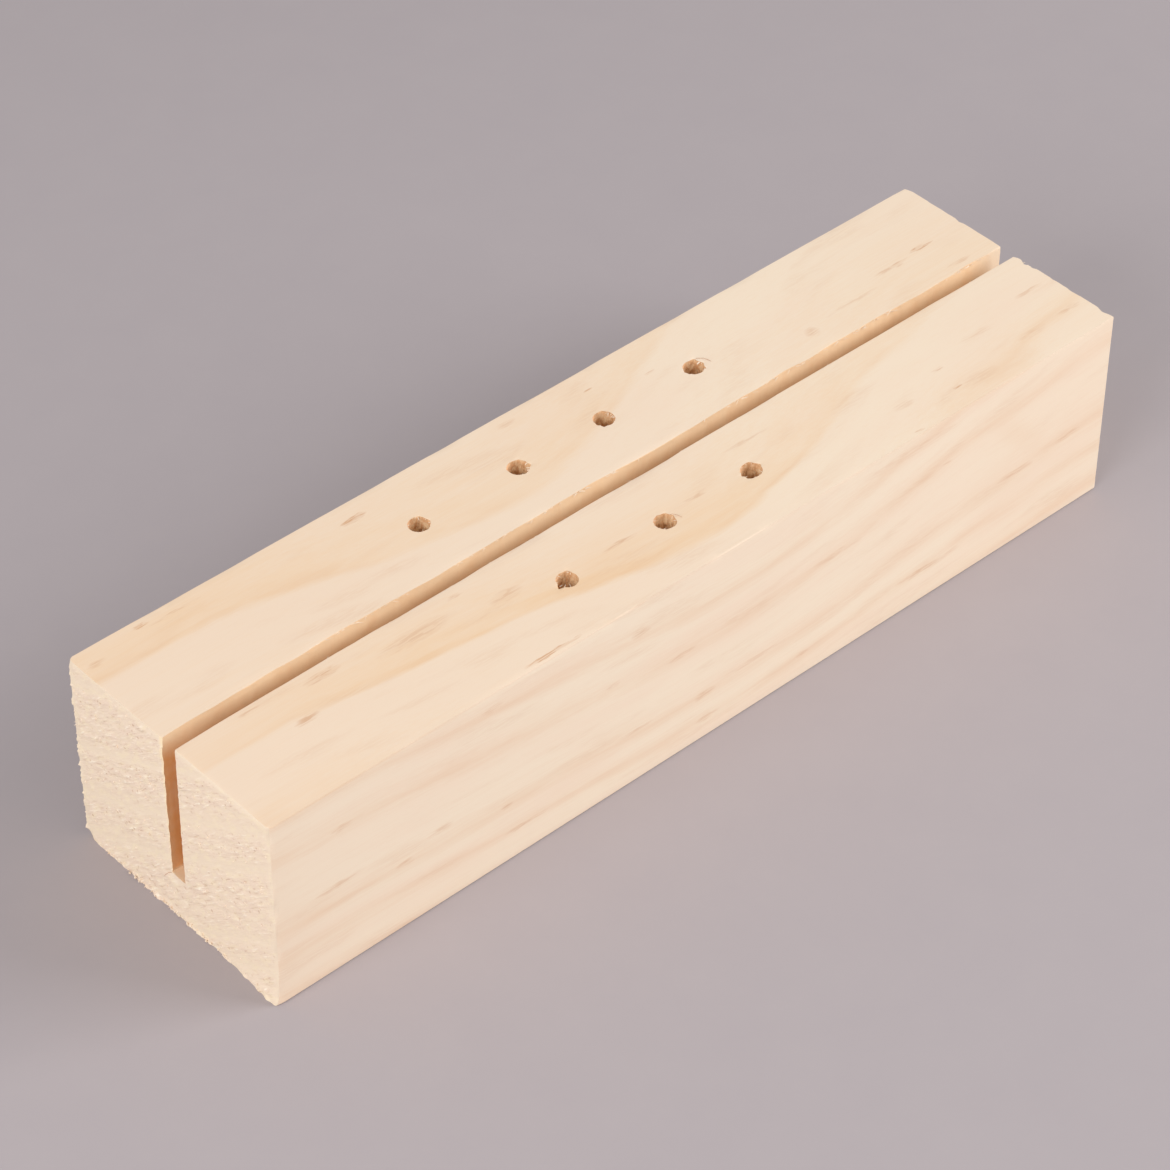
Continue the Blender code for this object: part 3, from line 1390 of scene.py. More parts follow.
    def outline(self) -> list[tuple[int, int]]:
        """Walks round the section: along the base, up the back, over the top and down the front.

        Returns:
            The stations, each as its numbers among the lines across and the lines up.
        """
        last_y, last_z = len(self.y_lines) - 1, len(self.z_lines) - 1
        near_lip, far_lip = self.lip_lines
        floor = self.floor_cells
        return (
            [(i, 0) for i in range(last_y)]
            + [(last_y, j) for j in range(last_z)]
            + [(i, last_z) for i in range(last_y, far_lip, -1)]
            + [(far_lip, j) for j in range(last_z, floor, -1)]
            + [(i, floor) for i in range(far_lip, near_lip, -1)]
            + [(near_lip, j) for j in range(floor, last_z)]
            + [(i, last_z) for i in range(near_lip, 0, -1)]
            + [(0, j) for j in range(last_z, 0, -1)]
        )

    def outline_surfaces(self) -> list[Surface]:
        """Says how each stretch of the outline was made.

        Returns:
            The surface from each station to the next.
        """
        base = len(self.y_lines) - 1 + len(self.z_lines) - 1 + self.side_cells
        slot = 2 * self.wall_cells + self.kerf_cells
        rest = self.side_cells + len(self.z_lines) - 1
        return [Surface.PLANED] * base + [Surface.SAWN] * slot + [Surface.PLANED] * rest

    def end_cap(self, x: float, inner: bool) -> np.ndarray:
        """Adds an end face as a grid with the slot left out.

        Args:
            x: Where along the block it is.
            inner: True for the near end, whose face looks back along the length.

        Returns:
            The numbers of the points round its outline.
        """
        rows, columns = len(self.y_lines), len(self.z_lines)
        near_lip, far_lip = self.lip_lines
        number = np.full((rows, columns), -1)
        spots = [
            (i, j)
            for i in range(rows)
            for j in range(columns)
            if not (near_lip < i < far_lip and j > self.floor_cells)
        ]
        points = np.array([(x, self.y_lines[i], self.z_lines[j]) for i, j in spots])
        for spot, made in zip(spots, self.draft.add_points(points)):
            number[spot] = made
        for i in range(rows - 1):
            for j in range(columns - 1):
                if near_lip <= i < far_lip and j >= self.floor_cells:
                    continue
                corners = [number[i, j], number[i + 1, j], number[i + 1, j + 1], number[i, j + 1]]
                self.draft.add_face(corners[::-1] if inner else corners, Surface.END_GRAIN)
        return np.array([number[spot] for spot in self.outline()])

    def ring(self, x: float, step: int) -> np.ndarray:
        """Adds the outline's points at one place along the block.

        Args:
            x: The place.
            step: How many stations of the outline go to one point.

        Returns:
            The points' numbers.
        """
        spots = self.outline()[::step]
        return self.draft.add_points(np.array([(x, self.y_lines[i], self.z_lines[j]) for i, j in spots]))

    def thin(self, fine: np.ndarray, coarse: np.ndarray, inwards: bool) -> None:
        """Joins a fine ring to a coarse one that has a third as many points.

        Args:
            fine: The fine ring's numbers.
            coarse: The coarse ring's numbers.
            inwards: True where the coarse ring lies further along the block.
        """
        surfaces = self.outline_surfaces()
        for count in range(len(coarse)):
            start = THINNING * count
            a, b, c, d = (fine[(start + n) % len(fine)] for n in range(THINNING + 1))
            e, f = coarse[count], coarse[(count + 1) % len(coarse)]
            for corners in ((a, b, e), (b, c, f, e), (c, d, f)):
                self.draft.add_face(corners if inwards else corners[::-1], surfaces[start])

    def coarse_stations(self) -> np.ndarray:
        """Places the coarse rings, with a square of cells round each hole.

        Returns:
            Their places along the block, in order.
        """
        half = self.patch_half()
        spots = sorted(hole.x for hole in self.holes())
        reach = self.length / 2 - self.end_band - self.band_gap
        breaks = [(-reach, spots[0] - half)]
        breaks += [(a + half, b - half) for a, b in zip(spots, spots[1:])]
        breaks += [(spots[-1] + half, reach)]
        found = []
        for (start, end), hole in itertools.zip_longest(breaks, spots):
            cells = max(1, math.ceil((end - start) / self.coarse_step))
            found.extend(np.linspace(start, end, cells + 1)[:-1])
            if hole is not None:
                found.extend(np.linspace(hole - half, hole + half, self.patch_cells + 1)[:-1])
        return np.array(found + [reach])

    def patch_half(self) -> float:
        """Half the side of the square of cells round a hole."""
        return self.patch_cells * self.side_length() / self.side_cells * THINNING / 2

    def side_length(self) -> float:
        """The width of the land on one side of the slot."""
        return (self.width - self.slot_width) / 2

    def build(self) -> None:
        """Builds the true block's mesh: the ends, the long faces and the holes."""
        half = self.length / 2
        band = ruled(0.0, self.end_band, self.end_rings, LIP_RIM, NO_RIM)
        surfaces = self.outline_surfaces()
        near = [self.end_cap(-half, True)] + [self.ring(gap - half, 1) for gap in band[1:]]
        far = [self.end_cap(half, False)] + [self.ring(half - gap, 1) for gap in band[1:]]
        for rings, onward in ((near, True), (far, False)):
            for first, second in zip(rings, rings[1:]):
                self.strip(first, second, surfaces, onward)
        stations = self.coarse_stations()
        rings = [self.ring(x, THINNING) for x in stations]
        self.thin(near[-1], rings[0], True)
        self.thin(far[-1], rings[-1], False)
        skipped = self.drill(stations, rings)
        thinned = surfaces[::THINNING]
        for count, (first, second) in enumerate(zip(rings, rings[1:])):
            self.strip(first, second, thinned, True, {cell for place, cell in skipped if place == count})

    def strip(
        self,
        first: np.ndarray,
        second: np.ndarray,
        surfaces: Sequence[Surface],
        onward: bool,
        skipped: Sequence[int] | set[int] = (),
    ) -> None:
        """Joins two rings of the outline with quads.

        Args:
            first: The numbers of one ring.
            second: The numbers of the next.
            surfaces: How each stretch of the outline was made.
            onward: True where the second ring lies further along the block.
            skipped: The stretches that are left open, for a hole.
        """
        for cell, surface in enumerate(surfaces):
            if cell in skipped:
                continue
            after = (cell + 1) % len(first)
            corners = (first[cell], first[after], second[after], second[cell])
            self.draft.add_face(corners if onward else corners[::-1], surface)

    def drill(self, stations: np.ndarray, rings: Sequence[np.ndarray]) -> set[tuple[int, int]]:
        """Adds every hole in its square of cells.

        Args:
            stations: The places of the coarse rings.
            rings: Their points' numbers.

        Returns:
            The cells that the holes take, each as its place along the block and its place round the outline.
        """
        taken = set()
        spots = self.outline()[::THINNING]
        for count, hole in enumerate(self.holes()):
            first = int(np.argmin(np.abs(stations - (hole.x - self.patch_half()))))
            on_land = [
                n for n, (i, j) in enumerate(spots)
                if j == len(self.z_lines) - 1 and self.y_lines[i] * hole.y > 0
            ]
            middles = [
                abs((self.y_lines[spots[n][0]] + self.y_lines[spots[n + self.patch_cells][0]]) / 2 - hole.y)
                if n + self.patch_cells in on_land else math.inf
                for n in on_land
            ]
            start = on_land[int(np.argmin(middles))]
            last, end = first + self.patch_cells, start + self.patch_cells
            square = (
                [rings[k][start] for k in range(last, first, -1)]
                + [rings[first][n] for n in range(start, end)]
                + [rings[k][end] for k in range(first, last)]
                + [rings[last][n] for n in range(end, start, -1)]
            )
            self.bore(hole, np.array(square), count)
            taken.update((k, n) for k in range(first, last) for n in range(start, end))
        return taken

    def bore(self, hole: Hole, square: np.ndarray, count: int) -> None:
        """Adds one hole, from the square round it to the drill point's mark.

        Args:
            hole: Its centre.
            square: The numbers of the points round the square, anticlockwise from above.
            count: Which hole it is, so that each has its own chips.
        """
        points = self.draft.array()[square][:, :2] - np.array(hole)
        turn = np.unwrap(np.arctan2(points[:, 1], points[:, 0]))
        turn = np.append(turn, turn[0] + math.tau)
        fine = np.concatenate(
            [np.linspace(a, b, THINNING, endpoint=False) for a, b in zip(turn, turn[1:])]
        )
        radius = self.hole_diameter / 2
        chip = self.rim_chips(fine, count)
        outer = self.collar(hole, fine, radius + self.collar_width, self.height)
        for n in range(len(square)):
            a, b = square[n], square[(n + 1) % len(square)]
            c, d, e, f = (outer[(THINNING * n + k) % len(outer)] for k in range(THINNING + 1))
            for corners in ((a, d, c), (a, b, e, d), (b, f, e)):
                self.draft.add_face(corners, Surface.PLANED)
        for width, share in self.rim_steps:
            wide = radius + width + chip * share * self.chip_out
            inner = self.collar(hole, fine, wide, self.height - chip * share * self.chip_down)
            self.draft.bridge(outer, inner, Surface.PLANED)
            outer = inner
        lower_start, lower_count = self.lower_rings
        lower = np.linspace(lower_start, self.hole_depth, lower_count)
        further_on = np.full_like(fine, self.wall_noise_gap * count)
        for depth in np.concatenate([np.geomspace(*self.upper_rings), lower]):
            flare = chip * self.chip_out * math.exp(-depth / self.flare_depth)
            wall = np.stack([fine * radius, np.full_like(fine, depth), further_on], 1)
            tear = self.wall_tear * self.noise.at(wall, self.wall_tear_step)
            sink = chip * self.chip_down * math.exp(-depth / self.sink_depth)
            inner = self.collar(hole, fine, radius + flare + tear, self.height - depth - sink)
            self.draft.bridge(outer, inner, Surface.DRILLED)
            outer = inner
        shoulder = self.height - self.hole_depth
        tip = radius / math.tan(math.radians(self.drill_point_angle / 2))
        for share in self.tip_rings:
            inner = self.collar(hole, fine, radius * share, shoulder - tip * (1.0 - share))
            self.draft.bridge(outer, inner, Surface.DRILLED)
            outer = inner
        self.draft.taper(outer, (hole.x, hole.y, shoulder - tip), Surface.DRILLED)

    def rim_chips(self, turn: np.ndarray, count: int) -> np.ndarray:
        """How far the rim is broken away, most where the drill cut across the grain's ends.

        Args:
            turn: The angles round the rim.
            count: Which hole it is.

        Returns:
            A depth in millimetres for each angle.
        """
        further_on = np.full_like(turn, self.rim_noise_gap * count)
        round_rim = np.stack([np.cos(turn), np.sin(turn), further_on], 1)
        coarse = self.noise.at(round_rim, self.rim_coarse)
        fine = self.noise.at(round_rim + Plot.RIM_FINE, self.rim_fine)
        along_grain = self.rim_across + (1.0 - self.rim_across) * np.cos(turn) ** 2
        broken = self.rim_shares[0] * coarse + self.rim_shares[1] * fine
        chips = np.clip(broken, 0.0, self.rim_most) * along_grain
        for notch in self.rim_notches[count]:
            apart = np.abs((turn - math.radians(notch.way) + math.pi) % math.tau - math.pi)
            chips = np.maximum(chips, notch.depth * fade(apart, math.radians(notch.width)))
        return chips

    def collar(
        self, hole: Hole, turn: np.ndarray, radius: float | np.ndarray, z: float | np.ndarray
    ) -> np.ndarray:
        """Adds a ring of points round a hole's axis.

        Args:
            hole: The hole's centre.
            turn: The points' angles round it.
            radius: How far they are from the axis.
            z: How high they are.

        Returns:
            The points' numbers.
        """
        wide = np.broadcast_to(radius, turn.shape)
        high = np.broadcast_to(z, turn.shape)
        spots = np.stack([hole.x + wide * np.cos(turn), hole.y + wide * np.sin(turn), high], 1)
        return self.draft.add_points(spots)

    def patchy(self, points: np.ndarray, patches: Patches) -> np.ndarray:
        """Uneven wear at some points: noise about its mean, within its limits."""
        swing = patches.swing * self.noise.at(points, patches.step)
        return np.clip(patches.mean + swing, patches.least, patches.most)

    def worn(self, points: np.ndarray, figure: GrowthFigure) -> np.ndarray:
        """Eases the edges, roughens the ends and lets the saw wander a little.

        Args:
            points: The points of the true block.
            figure: The growth layers, which tear or cut clean.

        Returns:
            The points as the tools left them.
        """
        moved = points.copy()
        self.ease(points, moved)
        moved[:, 1] += self.strayed(points)
        moved[:, 0] += self.near_end(points, figure) + self.far_end(points, figure)
        return moved

    def ease(self, points: np.ndarray, moved: np.ndarray) -> None:
        """Wears down the long edges, and the near end's top edge and corners.

        Args:
            points: The points of the true block.
            moved: The same points, which are moved.
        """
        x, y, z = points.T
        way = np.sign(y)
        wear = self.patchy(points * (1, 0, 0) + way[:, None] * Plot.LONG_WEAR, self.long_wear)
        wear *= np.where(y < 0, read(self.front_wear, x), 1.0)
        uneven = self.patchy(points * (0, 1, 1) + Plot.CROSS_WEAR, self.cross_wear)
        least, more, reach = self.back_corner
        corner_wear = np.where(y < 0, uneven, least + more * fade(self.height - z, reach))
        outer = Face(self.width / 2 - np.abs(y), 1, -way)
        slot = Face(np.abs(y) - self.slot_width / 2, 1, way)
        top = Face(self.height - z, 2, -1.0)
        base = Face(z, 2, 1.0)
        end = Face(x + self.length / 2, 0, 1.0)
        edges = (
            (outer, top, self.edge_ease * wear, self.edge_reach),
            (outer, base, self.base_ease, self.base_reach),
            (slot, top, self.lip_ease * wear, self.lip_reach),
            (end, top, self.end_ease * (uneven * read(self.end_wear, y)), self.end_reach),
            (end, outer, self.corner_ease * corner_wear, self.corner_reach),
        )
        for first, second, ease, reach in edges:
            inside = (first.gap > -TOUCHING) & (second.gap > -TOUCHING)
            for own, other in ((first, second), (second, first)):
                dip = fade(other.gap, reach) ** 2 * fade(own.gap, 2 * reach)
                moved[:, own.axis] += np.where(inside, own.way * ease * dip, 0.0)

    def strayed(self, points: np.ndarray) -> np.ndarray:
        """How far the slot's saw strayed across the block.

        Args:
            points: The points of the true block.

        Returns:
            How far each point beside the slot moves, in millimetres.
        """
        x, y, z = points.T
        beside = fade(np.maximum(np.abs(y) - self.slot_width / 2, self.slot_floor - z), self.wander_reach)
        found = self.wander * self.noise.at(points + Plot.SLOW_WANDER, self.slow_wander)
        found += self.lean * (self.height - z)
        found += self.wander * self.noise.at(points + Plot.QUICK_WANDER, self.quick_wander)
        aside, run = self.entry
        found -= aside * np.exp(-(x + self.length / 2) / run)
        swing, step, depth = self.lip_wave
        wavy = swing * self.noise.at(points * (1, 0, 0) + Plot.LIP_WAVE, step)
        wavy *= np.exp(-(self.height - z) / depth)
        return beside * (found + np.where(y > 0, wavy, 0.0))

    def saw_grit(self, points: np.ndarray, figure: GrowthFigure) -> np.ndarray:
        """The end faces' roughness: crumbs along the layers where they tore.

        Args:
            points: The points of the true block.
            figure: The growth layers.

        Returns:
            How far each point stands out, in millimetres.
        """
        level = figure.level(points)
        x, y, z = points.T
        spot = np.stack([x, level, y - figure.tilt * z], 1)
        patch = self.torn_share + (1.0 - self.torn_share) * self.noise.at(spot + Plot.TORN, self.torn_patch)
        torn = read(figure.tearing(), level) * patch
        sawn = np.stack([x, z + figure.saw_way * y, figure.saw_way * z - y], 1)
        grit = self.grit_share * self.noise.at(sawn, self.grit_coarse)
        grit = grit + self.grit_share * self.noise.at(sawn + Plot.GRIT_FINE, self.grit_fine)
        rim = np.minimum(self.width / 2 - np.abs(y), self.height - z)
        torn = torn * np.clip((rim - self.clean_rim) / self.clean_fade, 0, 1)
        return grit * (self.grit_clean + self.grit_torn * torn)

    def near_end(self, points: np.ndarray, figure: GrowthFigure) -> np.ndarray:
        """Roughens the near end: grit, and the fringe where the saw came out at base and back.

        Args:
            points: The points of the true block.
            figure: The growth layers.

        Returns:
            How far each point moves along the length, in millimetres.
        """
        x, y, z = points.T
        across = points * (0, 1, 1)
        coarse, fine = self.fringe_steps
        fringe = (self.noise.at(across, coarse) + self.noise.at(across + Plot.FRINGE_FINE, fine)) / 2
        fringe = np.clip(fringe + self.fringe_mean, 0, 1)
        from_back, past_lip = self.width / 2 - y, y - self.slot_width / 2
        along_base = read(self.base_fringe, y) * np.exp(-z / self.base_fringe_height)
        below, above = self.back_fringe_ends
        between = np.clip(np.minimum(z / below, (self.height - z) / above), 0, 1)
        along_back = self.back_fringe * np.exp(-from_back / self.back_fringe_reach) * between
        burr = read(self.base_burr, y) * np.exp(-z / self.base_burr_height)
        chipped = self.back_chip * fade(from_back, self.back_chip_reach) * fade(z, self.back_chip_reach)
        mean, swing = self.bead_swing
        uneven = mean + swing * self.noise.at(points * (0, 0, 1) + Plot.BEAD, self.bead_step)
        bead = self.bead * fade(past_lip, self.bead_reach) * uneven
        bead = np.where((past_lip > -TOUCHING) & (z > self.slot_floor), bead, 0.0)
        outwards = fringe * np.maximum(along_base, along_back) + self.saw_grit(points, figure)
        return -(outwards + burr - chipped - bead) * fade(x + self.length / 2, self.end_depth) ** 2

    def far_end(self, points: np.ndarray, figure: GrowthFigure) -> np.ndarray:
        """Roughens the far end: grit, and the splinters that broke from its top edge.

        Args:
            points: The points of the true block.
            figure: The growth layers.

        Returns:
            How far each point moves along the length, in millimetres.
        """
        x, y, z = points.T
        gap = self.length / 2 - x
        front, back = self.far_loss
        ragged = self.noise.at(points * (0, 1, 0) + Plot.FAR_LOSS, self.far_loss_step)
        loss = np.clip(np.where(y > 0, back, front) * ragged, 0, 1)
        for chip in self.far_chips:
            loss = loss + chip.depth * fade(np.abs(y - chip.y), chip.width)
        loss = loss * np.exp(-(self.height - z) / self.far_loss_height)
        grit = self.saw_grit(points, figure) * fade(gap, self.end_depth) ** 2
        return grit - loss * fade(gap, self.far_loss_depth) ** 2

    def dress(self, figure: GrowthFigure) -> bpy.types.Object:
        """Wears the mesh as the tools left it and gives it its finishes.

        Args:
            figure: The growth layers that run through it.

        Returns:
            The piece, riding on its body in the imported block's place.
        """
        side = self.width / 2
        finishes = (
            PlanedPine(figure, self.height, -side),
            SawnEndGrain(figure, side, self.height),
            SawnKerf(figure),
            DrilledBore(tuple(self.holes()), self.height),
        )
        points = self.worn(self.draft.array(), figure)
        made = self.draft.to_object("pine_block", points, [finish.material() for finish in finishes])
        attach(made, BODY)
        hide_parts(CAD_NODE)
        return made


class Blades(NamedTuple):
    """One kind of splinter: how many are drawn, and the ranges of their sizes, depths and leans.

    The depth is how far inside a face the root lies. The leans are aside and up, for each step forwards.
    """

    count: int
    lengths: Range
    widths: Range
    depths: Range = (0.0, 0.0)
    aside: Range = (0.0, 0.0)
    rise: Range = (0.0, 0.0)


@dataclass
class TornFibres:
    """Splinters, crumbs and hairs that the saw and the drill left standing."""

    block: SlottedBlock
    figure: GrowthFigure
    seed: int = 5

    # Splinters, each rooted a little inside the wood
    base_blades: Blades = Blades(40, (0.3, 0.65), (0.18, 0.4), (0.12, 0.6), (-0.8, 0.8), (0.0, 0.5))
    back_blades: Blades = Blades(26, (0.2, 0.36), (0.14, 0.28), (0.05, 0.5), (0.0, 0.6), (-0.5, 0.5))
    far_blades: Blades = Blades(30, (0.25, 0.45), (0.1, 0.25), (0.12, 0.4), (-0.3, 0.3), (-0.1, 0.1))
    lip_blades: Blades = Blades(220, (0.4, 1.2), (0.08, 0.2), (0.05, 0.3), (0.1, 0.5))
    rim_blades: Blades = Blades(8, (0.25, 0.8), (0.08, 0.22), rise=(-0.2, 0.35))
    near_root: float = 0.1
    far_root: float = 0.25
    lip_root: float = 0.08
    rim_root: tuple[float, float] = (0.05, 0.12)
    back_margin: float = 4.0
    far_clearance: float = 0.2
    lip_margin: float = 1.0
    front_lip_start: float = 12.0
    front_lip_every: int = 8
    rim_turn: float = 0.7
    rim_aside: float = 0.5
    blade_rings: tuple[float, ...] = (0.0, 0.35, 0.7)
    blade_taper: float = 0.75
    blade_flatness: float = 0.6
    blade_bend: float = 0.35

    # Crumbs
    crumb_spread: Range = (0.6, 1.3)
    base_crumbs: int = 50
    base_crumb_sizes: Range = (0.1, 0.26)
    base_crumb_out: Range = (-0.1, 0.3)
    base_crumb_heights: Range = (0.15, 0.6)
    base_crumbs_end: float = 11.0
    end_crumbs: int = 350
    far_crumb_every: int = 3
    end_crumb_sizes: Range = (0.08, 0.2)
    end_crumb_rim: float = 0.5
    end_crumb_share: float = 0.98
    slot_clearance: tuple[float, float] = (0.4, 0.3)

    # Hairs
    hair_width: float = 0.06
    hair_end: float = 0.5
    hair_side: Place = (-0.6, 0.2, 0.8)
    hairs: tuple[tuple[Place, ...], ...] = (
        ((-75.08, 1.3, 7.5), (-75.1, 2.0, 7.0), (-75.12, 2.7, 6.1), (-75.1, 3.1, 5.5)),
        (
            (24.9, 11.7, 31.45), (25.5, 11.6, 31.55), (26.1, 11.0, 31.58), (26.4, 10.3, 31.55),
            (26.5, 9.8, 31.5),
        ),
        ((0.4, -9.8, 31.45), (0.7, -10.2, 31.65), (1.0, -10.8, 31.65), (1.3, -11.4, 31.52)),
    )

    draft: MeshDraft = field(default_factory=MeshDraft)

    def __post_init__(self) -> None:
        """Seeds the draw."""
        self.draw = np.random.default_rng(self.seed)

    def crumb(self, middle: np.ndarray, radius: float) -> None:
        """Adds one crumb, an uneven lump of eight faces.

        Args:
            middle: Where it is.
            radius: About half its width.
        """
        spread = radius * self.draw.uniform(*self.crumb_spread, (6, 1))
        turn = np.linalg.qr(self.draw.normal(size=(3, 3)))[0]
        turn[:, 0] *= np.sign(np.linalg.det(turn))
        axes = np.concatenate([turn, -turn])
        east, north, up, west, south, down = self.draft.add_points(middle + axes * spread)
        belt = (east, north, west, south)
        for a, b in zip(belt, belt[1:] + belt[:1]):
            self.draft.add_face((a, b, up), Fibre.PALE)
            self.draft.add_face((b, a, down), Fibre.PALE)

    def crumbs(self) -> None:
        """Adds the crumbs along the near end's base edge and over the torn layers of both ends."""
        half, side, top = self.block.length / 2, self.block.width / 2, self.block.height
        lip, floor = self.block.slot_width / 2, self.block.slot_floor
        beside, under = self.slot_clearance
        draw, rim = self.draw.uniform, self.end_crumb_rim
        for _ in range(self.base_crumbs):
            x = -half - draw(*self.base_crumb_out)
            spot = (x, draw(-side, self.base_crumbs_end), draw(*self.base_crumb_heights))
            self.crumb(np.array(spot), draw(*self.base_crumb_sizes))
        for count in range(self.end_crumbs):
            end = 1.0 if count % self.far_crumb_every == 0 else -1.0
            spot = np.array([end * half, draw(-side, side) * self.end_crumb_share, draw(rim, top - rim)])
            torn = read(self.figure.tearing(), self.figure.level(spot[None])[0])
            radius = draw(*self.end_crumb_sizes)
            in_slot = abs(spot[1]) < lip + beside and spot[2] > floor - under
            if draw(0.0, 1.0) < torn**2 and not in_slot:
                self.crumb(spot, radius)

    def hair(self, path: Sequence[Place]) -> None:
        """Adds a thin brown hair.

        Args:
            path: The points that it runs through.
        """
        spots = np.array(path)
        ways = np.gradient(spots, axis=0)
        outer = None
        for count, (spot, way) in enumerate(zip(spots, ways)):
            side = np.cross(way, self.hair_side)
            side /= np.linalg.norm(side)
            other = np.cross(way / np.linalg.norm(way), side)
            reach = self.hair_width / 2 * (self.hair_end if count in (0, len(path) - 1) else 1.0)
            ring = self.draft.add_points(np.array([spot + reach * w for w in (side, other, -side, -other)]))
            outer = self.draft.tube(outer, ring, Fibre.BROWN)
        self.draft.add_face(outer, Fibre.BROWN)

    def blade(self, root: np.ndarray, way: np.ndarray, kind: Blades) -> None:
        """Adds one splinter: three sides that taper to a bent tip.

        Args:
            root: Where it stands, a little inside the wood.
            way: The direction that it points in.
            kind: The kind that it is one of.
        """
        length, width = self.draw.uniform(*kind.lengths), self.draw.uniform(*kind.widths)
        way = way / np.linalg.norm(way)
        side = np.cross(way, self.draw.normal(size=3))
        side /= np.linalg.norm(side)
        other = np.cross(way, side)
        bend = self.draw.uniform(-self.blade_bend, self.blade_bend) * length
        outer = None
        for share in self.blade_rings:
            middle = root + way * length * share + side * bend * share**2
            reach = width / 2 * (1.0 - self.blade_taper * share)
            corners = [
                middle + reach * (math.cos(turn) * side + self.blade_flatness * math.sin(turn) * other)
                for turn in (0.0, math.tau / 3, 2 * math.tau / 3)
            ]
            outer = self.draft.tube(outer, self.draft.add_points(np.array(corners)), Fibre.PALE)
        self.draft.taper(outer, root + way * length + side * bend, Fibre.PALE)

    def lean(self, forwards: float, kind: Blades) -> np.ndarray:
        """The way that a splinter points: forwards along the block, with its drawn leans."""
        return np.array([forwards, self.draw.uniform(*kind.aside), self.draw.uniform(*kind.rise)])

    def fringe(self) -> None:
        """Adds the fringe along the near end's base and back edges, and the far end's top."""
        half, side, top = self.block.length / 2, self.block.width / 2, self.block.height
        draw, kind = self.draw.uniform, self.base_blades
        for _ in range(kind.count):
            root = np.array([-half + self.near_root, draw(-side, side), draw(*kind.depths)])
            self.blade(root, self.lean(-1.0, kind), kind)
        kind, margin = self.back_blades, self.back_margin
        for _ in range(kind.count):
            root = np.array([-half + self.near_root, side - draw(*kind.depths), draw(margin, top - margin)])
            self.blade(root, self.lean(-1.0, kind), kind)
        kind = self.far_blades
        for _ in range(kind.count):
            root = np.array([half - self.far_root, draw(-side, side), top - draw(*kind.depths)])
            if abs(root[1]) > self.block.slot_width / 2 + self.far_clearance:
                self.blade(root, self.lean(1.0, kind), kind)

    def lips(self) -> None:
        """Adds slivers along the slot's lips, most on the back one, where the blade came up."""
        half, lip, top = self.block.length / 2, self.block.slot_width / 2, self.block.height
        draw, kind = self.draw.uniform, self.lip_blades
        for count in range(kind.count):
            edge = -1.0 if count % self.front_lip_every == 0 else 1.0
            start = self.front_lip_start if edge < 0 else self.lip_margin
            x = draw(start - half, half - self.lip_margin)
            root = np.array([x, edge * (lip + self.lip_root), top - draw(*kind.depths)])
            way = np.array([self.draw.choice((-1.0, 1.0)), -edge * draw(*kind.aside), 0.0])
            self.blade(root, way, kind)

    def burrs(self) -> None:
        """Adds the splinters round each hole, mostly where the grain's ends were cut."""
        radius, kind = self.block.hole_diameter / 2, self.rim_blades
        outside, under = self.rim_root
        for hole in self.block.holes():
            for _ in range(kind.count):
                turn = self.draw.choice((0.0, math.pi)) + self.draw.normal(0.0, self.rim_turn)
                out = np.array([math.cos(turn), math.sin(turn), 0.0])
                root = np.array([hole.x, hole.y, self.block.height - under]) + out * (radius + outside)
                aside, rise = self.draw.normal(0.0, self.rim_aside), self.draw.uniform(*kind.rise)
                self.blade(root, np.array([-out[0], -out[1] + aside, rise]), kind)

    def build(self) -> None:
        """Builds the mesh: splinters first, then crumbs and hairs."""
        self.fringe()
        self.lips()
        self.burrs()
        self.crumbs()
        for path in self.hairs:
            self.hair(path)

    def dress(self) -> bpy.types.Object:
        """Keeps the mesh above the floor and gives it its finishes.

        Returns:
            The piece, riding on the block's body.
        """
        points = self.draft.array()
        points[:, 2] = np.maximum(points[:, 2], 0.0)
        made = self.draft.to_object("torn_fibres", points, [PALE_FIBRE.material(), BROWN_FIBRE.material()])
        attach(made, BODY)
        return made


class Softbox(NamedTuple):
    """One square lamp: where it stands round and above the block, how far off, how wide and how strong."""

    name: str
    azimuth: float
    elevation: float
    distance: float
    side: float
    power: float


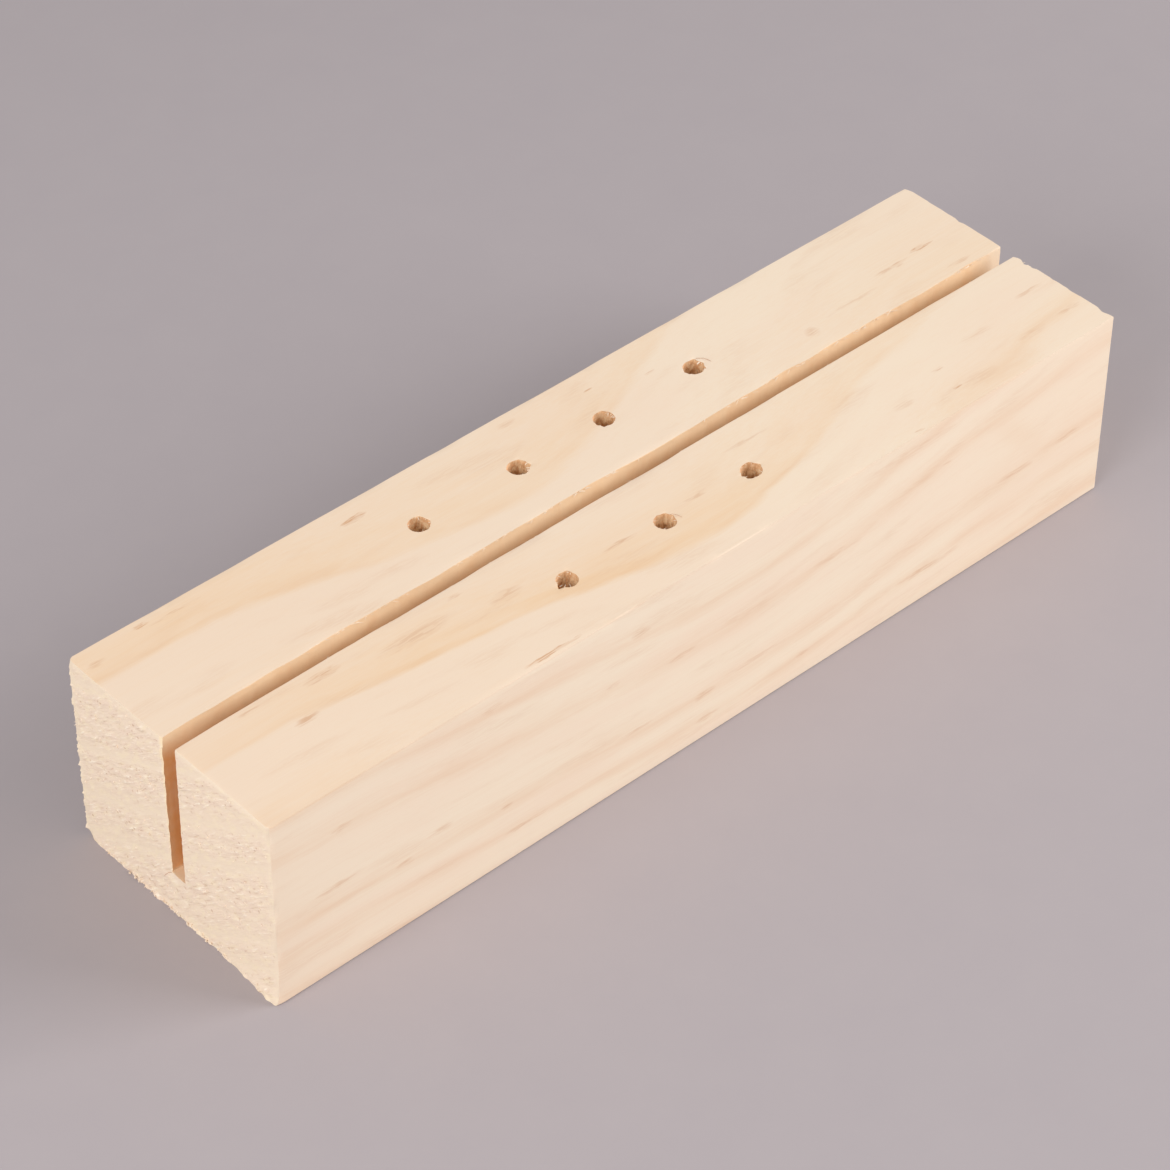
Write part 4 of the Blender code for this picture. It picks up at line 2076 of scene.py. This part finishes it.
@dataclass
class Studio:
    """The floor, the lamps and the camera."""

    aim: Place = (-5.34, 0.23, 15.75)
    distance: float = 540.95
    azimuth: float = -42.03
    elevation: float = 41.91
    roll: float = 0.18
    lens: float = 123.75
    sensor: float = 36.0
    floor_side: float = 6000.0
    sky: float = 0.54
    sky_colour: Colour = (1.0, 1.0, 1.0, 1.0)
    softboxes: tuple[Softbox, ...] = (
        Softbox("left_softbox", -78.0, 26.0, 800.0, 500.0, 3.8),
        Softbox("right_softbox", 47.0, 27.0, 800.0, 500.0, 4.4),
    )

    def direction(self, azimuth: float, elevation: float) -> Vector:
        """The way from the block to a place round it, where azimuth 0 is in front."""
        turn, rise = math.radians(azimuth), math.radians(elevation)
        return Vector((math.sin(turn) * math.cos(rise), -math.cos(turn) * math.cos(rise), math.sin(rise)))

    def floor(self) -> None:
        """Lays the paper under the block."""
        half = self.floor_side / 2 * MM
        corners = [(-half, -half, 0), (half, -half, 0), (half, half, 0), (-half, half, 0)]
        mesh = bpy.data.meshes.new("floor")
        mesh.from_pydata(corners, [], [(0, 1, 2, 3)])
        mesh.materials.append(StudioPaper().material())
        made = bpy.data.objects.new("floor", mesh)
        bpy.context.scene.collection.objects.link(made)

    def light(self) -> None:
        """Sets the even sky and the softboxes."""
        world = bpy.data.worlds.new("studio_sky")
        world.use_nodes = True
        background = world.node_tree.nodes["Background"]
        background.inputs["Color"].default_value = self.sky_colour
        background.inputs["Strength"].default_value = self.sky
        bpy.context.scene.world = world
        for box in self.softboxes:
            lamp = bpy.data.lights.new(box.name, "AREA")
            lamp.shape = "SQUARE"
            lamp.size = box.side * MM
            lamp.energy = box.power
            made = bpy.data.objects.new(box.name, lamp)
            way = self.direction(box.azimuth, box.elevation)
            made.location = way * box.distance * MM
            made.rotation_mode = "QUATERNION"
            made.rotation_quaternion = (-way).to_track_quat("-Z", "Y")
            bpy.context.scene.collection.objects.link(made)

    def camera(self) -> None:
        """Stands the camera at the photograph's angle."""
        lens = bpy.data.cameras.new("camera")
        lens.lens = self.lens
        lens.sensor_width = self.sensor
        made = bpy.data.objects.new("camera", lens)
        way = self.direction(self.azimuth, self.elevation)
        made.location = (Vector(self.aim) + way * self.distance) * MM
        made.rotation_mode = "QUATERNION"
        level = (-way).to_track_quat("-Z", "Y")
        made.rotation_quaternion = level @ Quaternion((0.0, 0.0, 1.0), math.radians(self.roll))
        bpy.context.scene.collection.objects.link(made)
        bpy.context.scene.camera = made

    def set_up(self) -> None:
        """Sets everything up, with colours shown as they are."""
        self.floor()
        self.light()
        self.camera()
        bpy.context.scene.view_settings.view_transform = "Standard"


def main() -> None:
    """Builds the stand piece by piece, then the studio round it."""
    logging.basicConfig(level=logging.INFO, format="%(name)s: %(message)s")
    low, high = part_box(CAD_NODE)
    length, width, height = ((b - a) / MM for a, b in zip(low, high))
    figure = GrowthFigure()
    block = SlottedBlock(length, width, height)
    block.build()
    piece = block.dress(figure)
    LOG.info("%s: %d faces", piece.name, len(piece.data.polygons))
    fibres = TornFibres(block, figure)
    fibres.build()
    piece = fibres.dress()
    LOG.info("%s: %d faces", piece.name, len(piece.data.polygons))
    Studio().set_up()
    LOG.info("studio: camera %s", bpy.context.scene.camera.name)


if __name__ == "__main__":
    main()
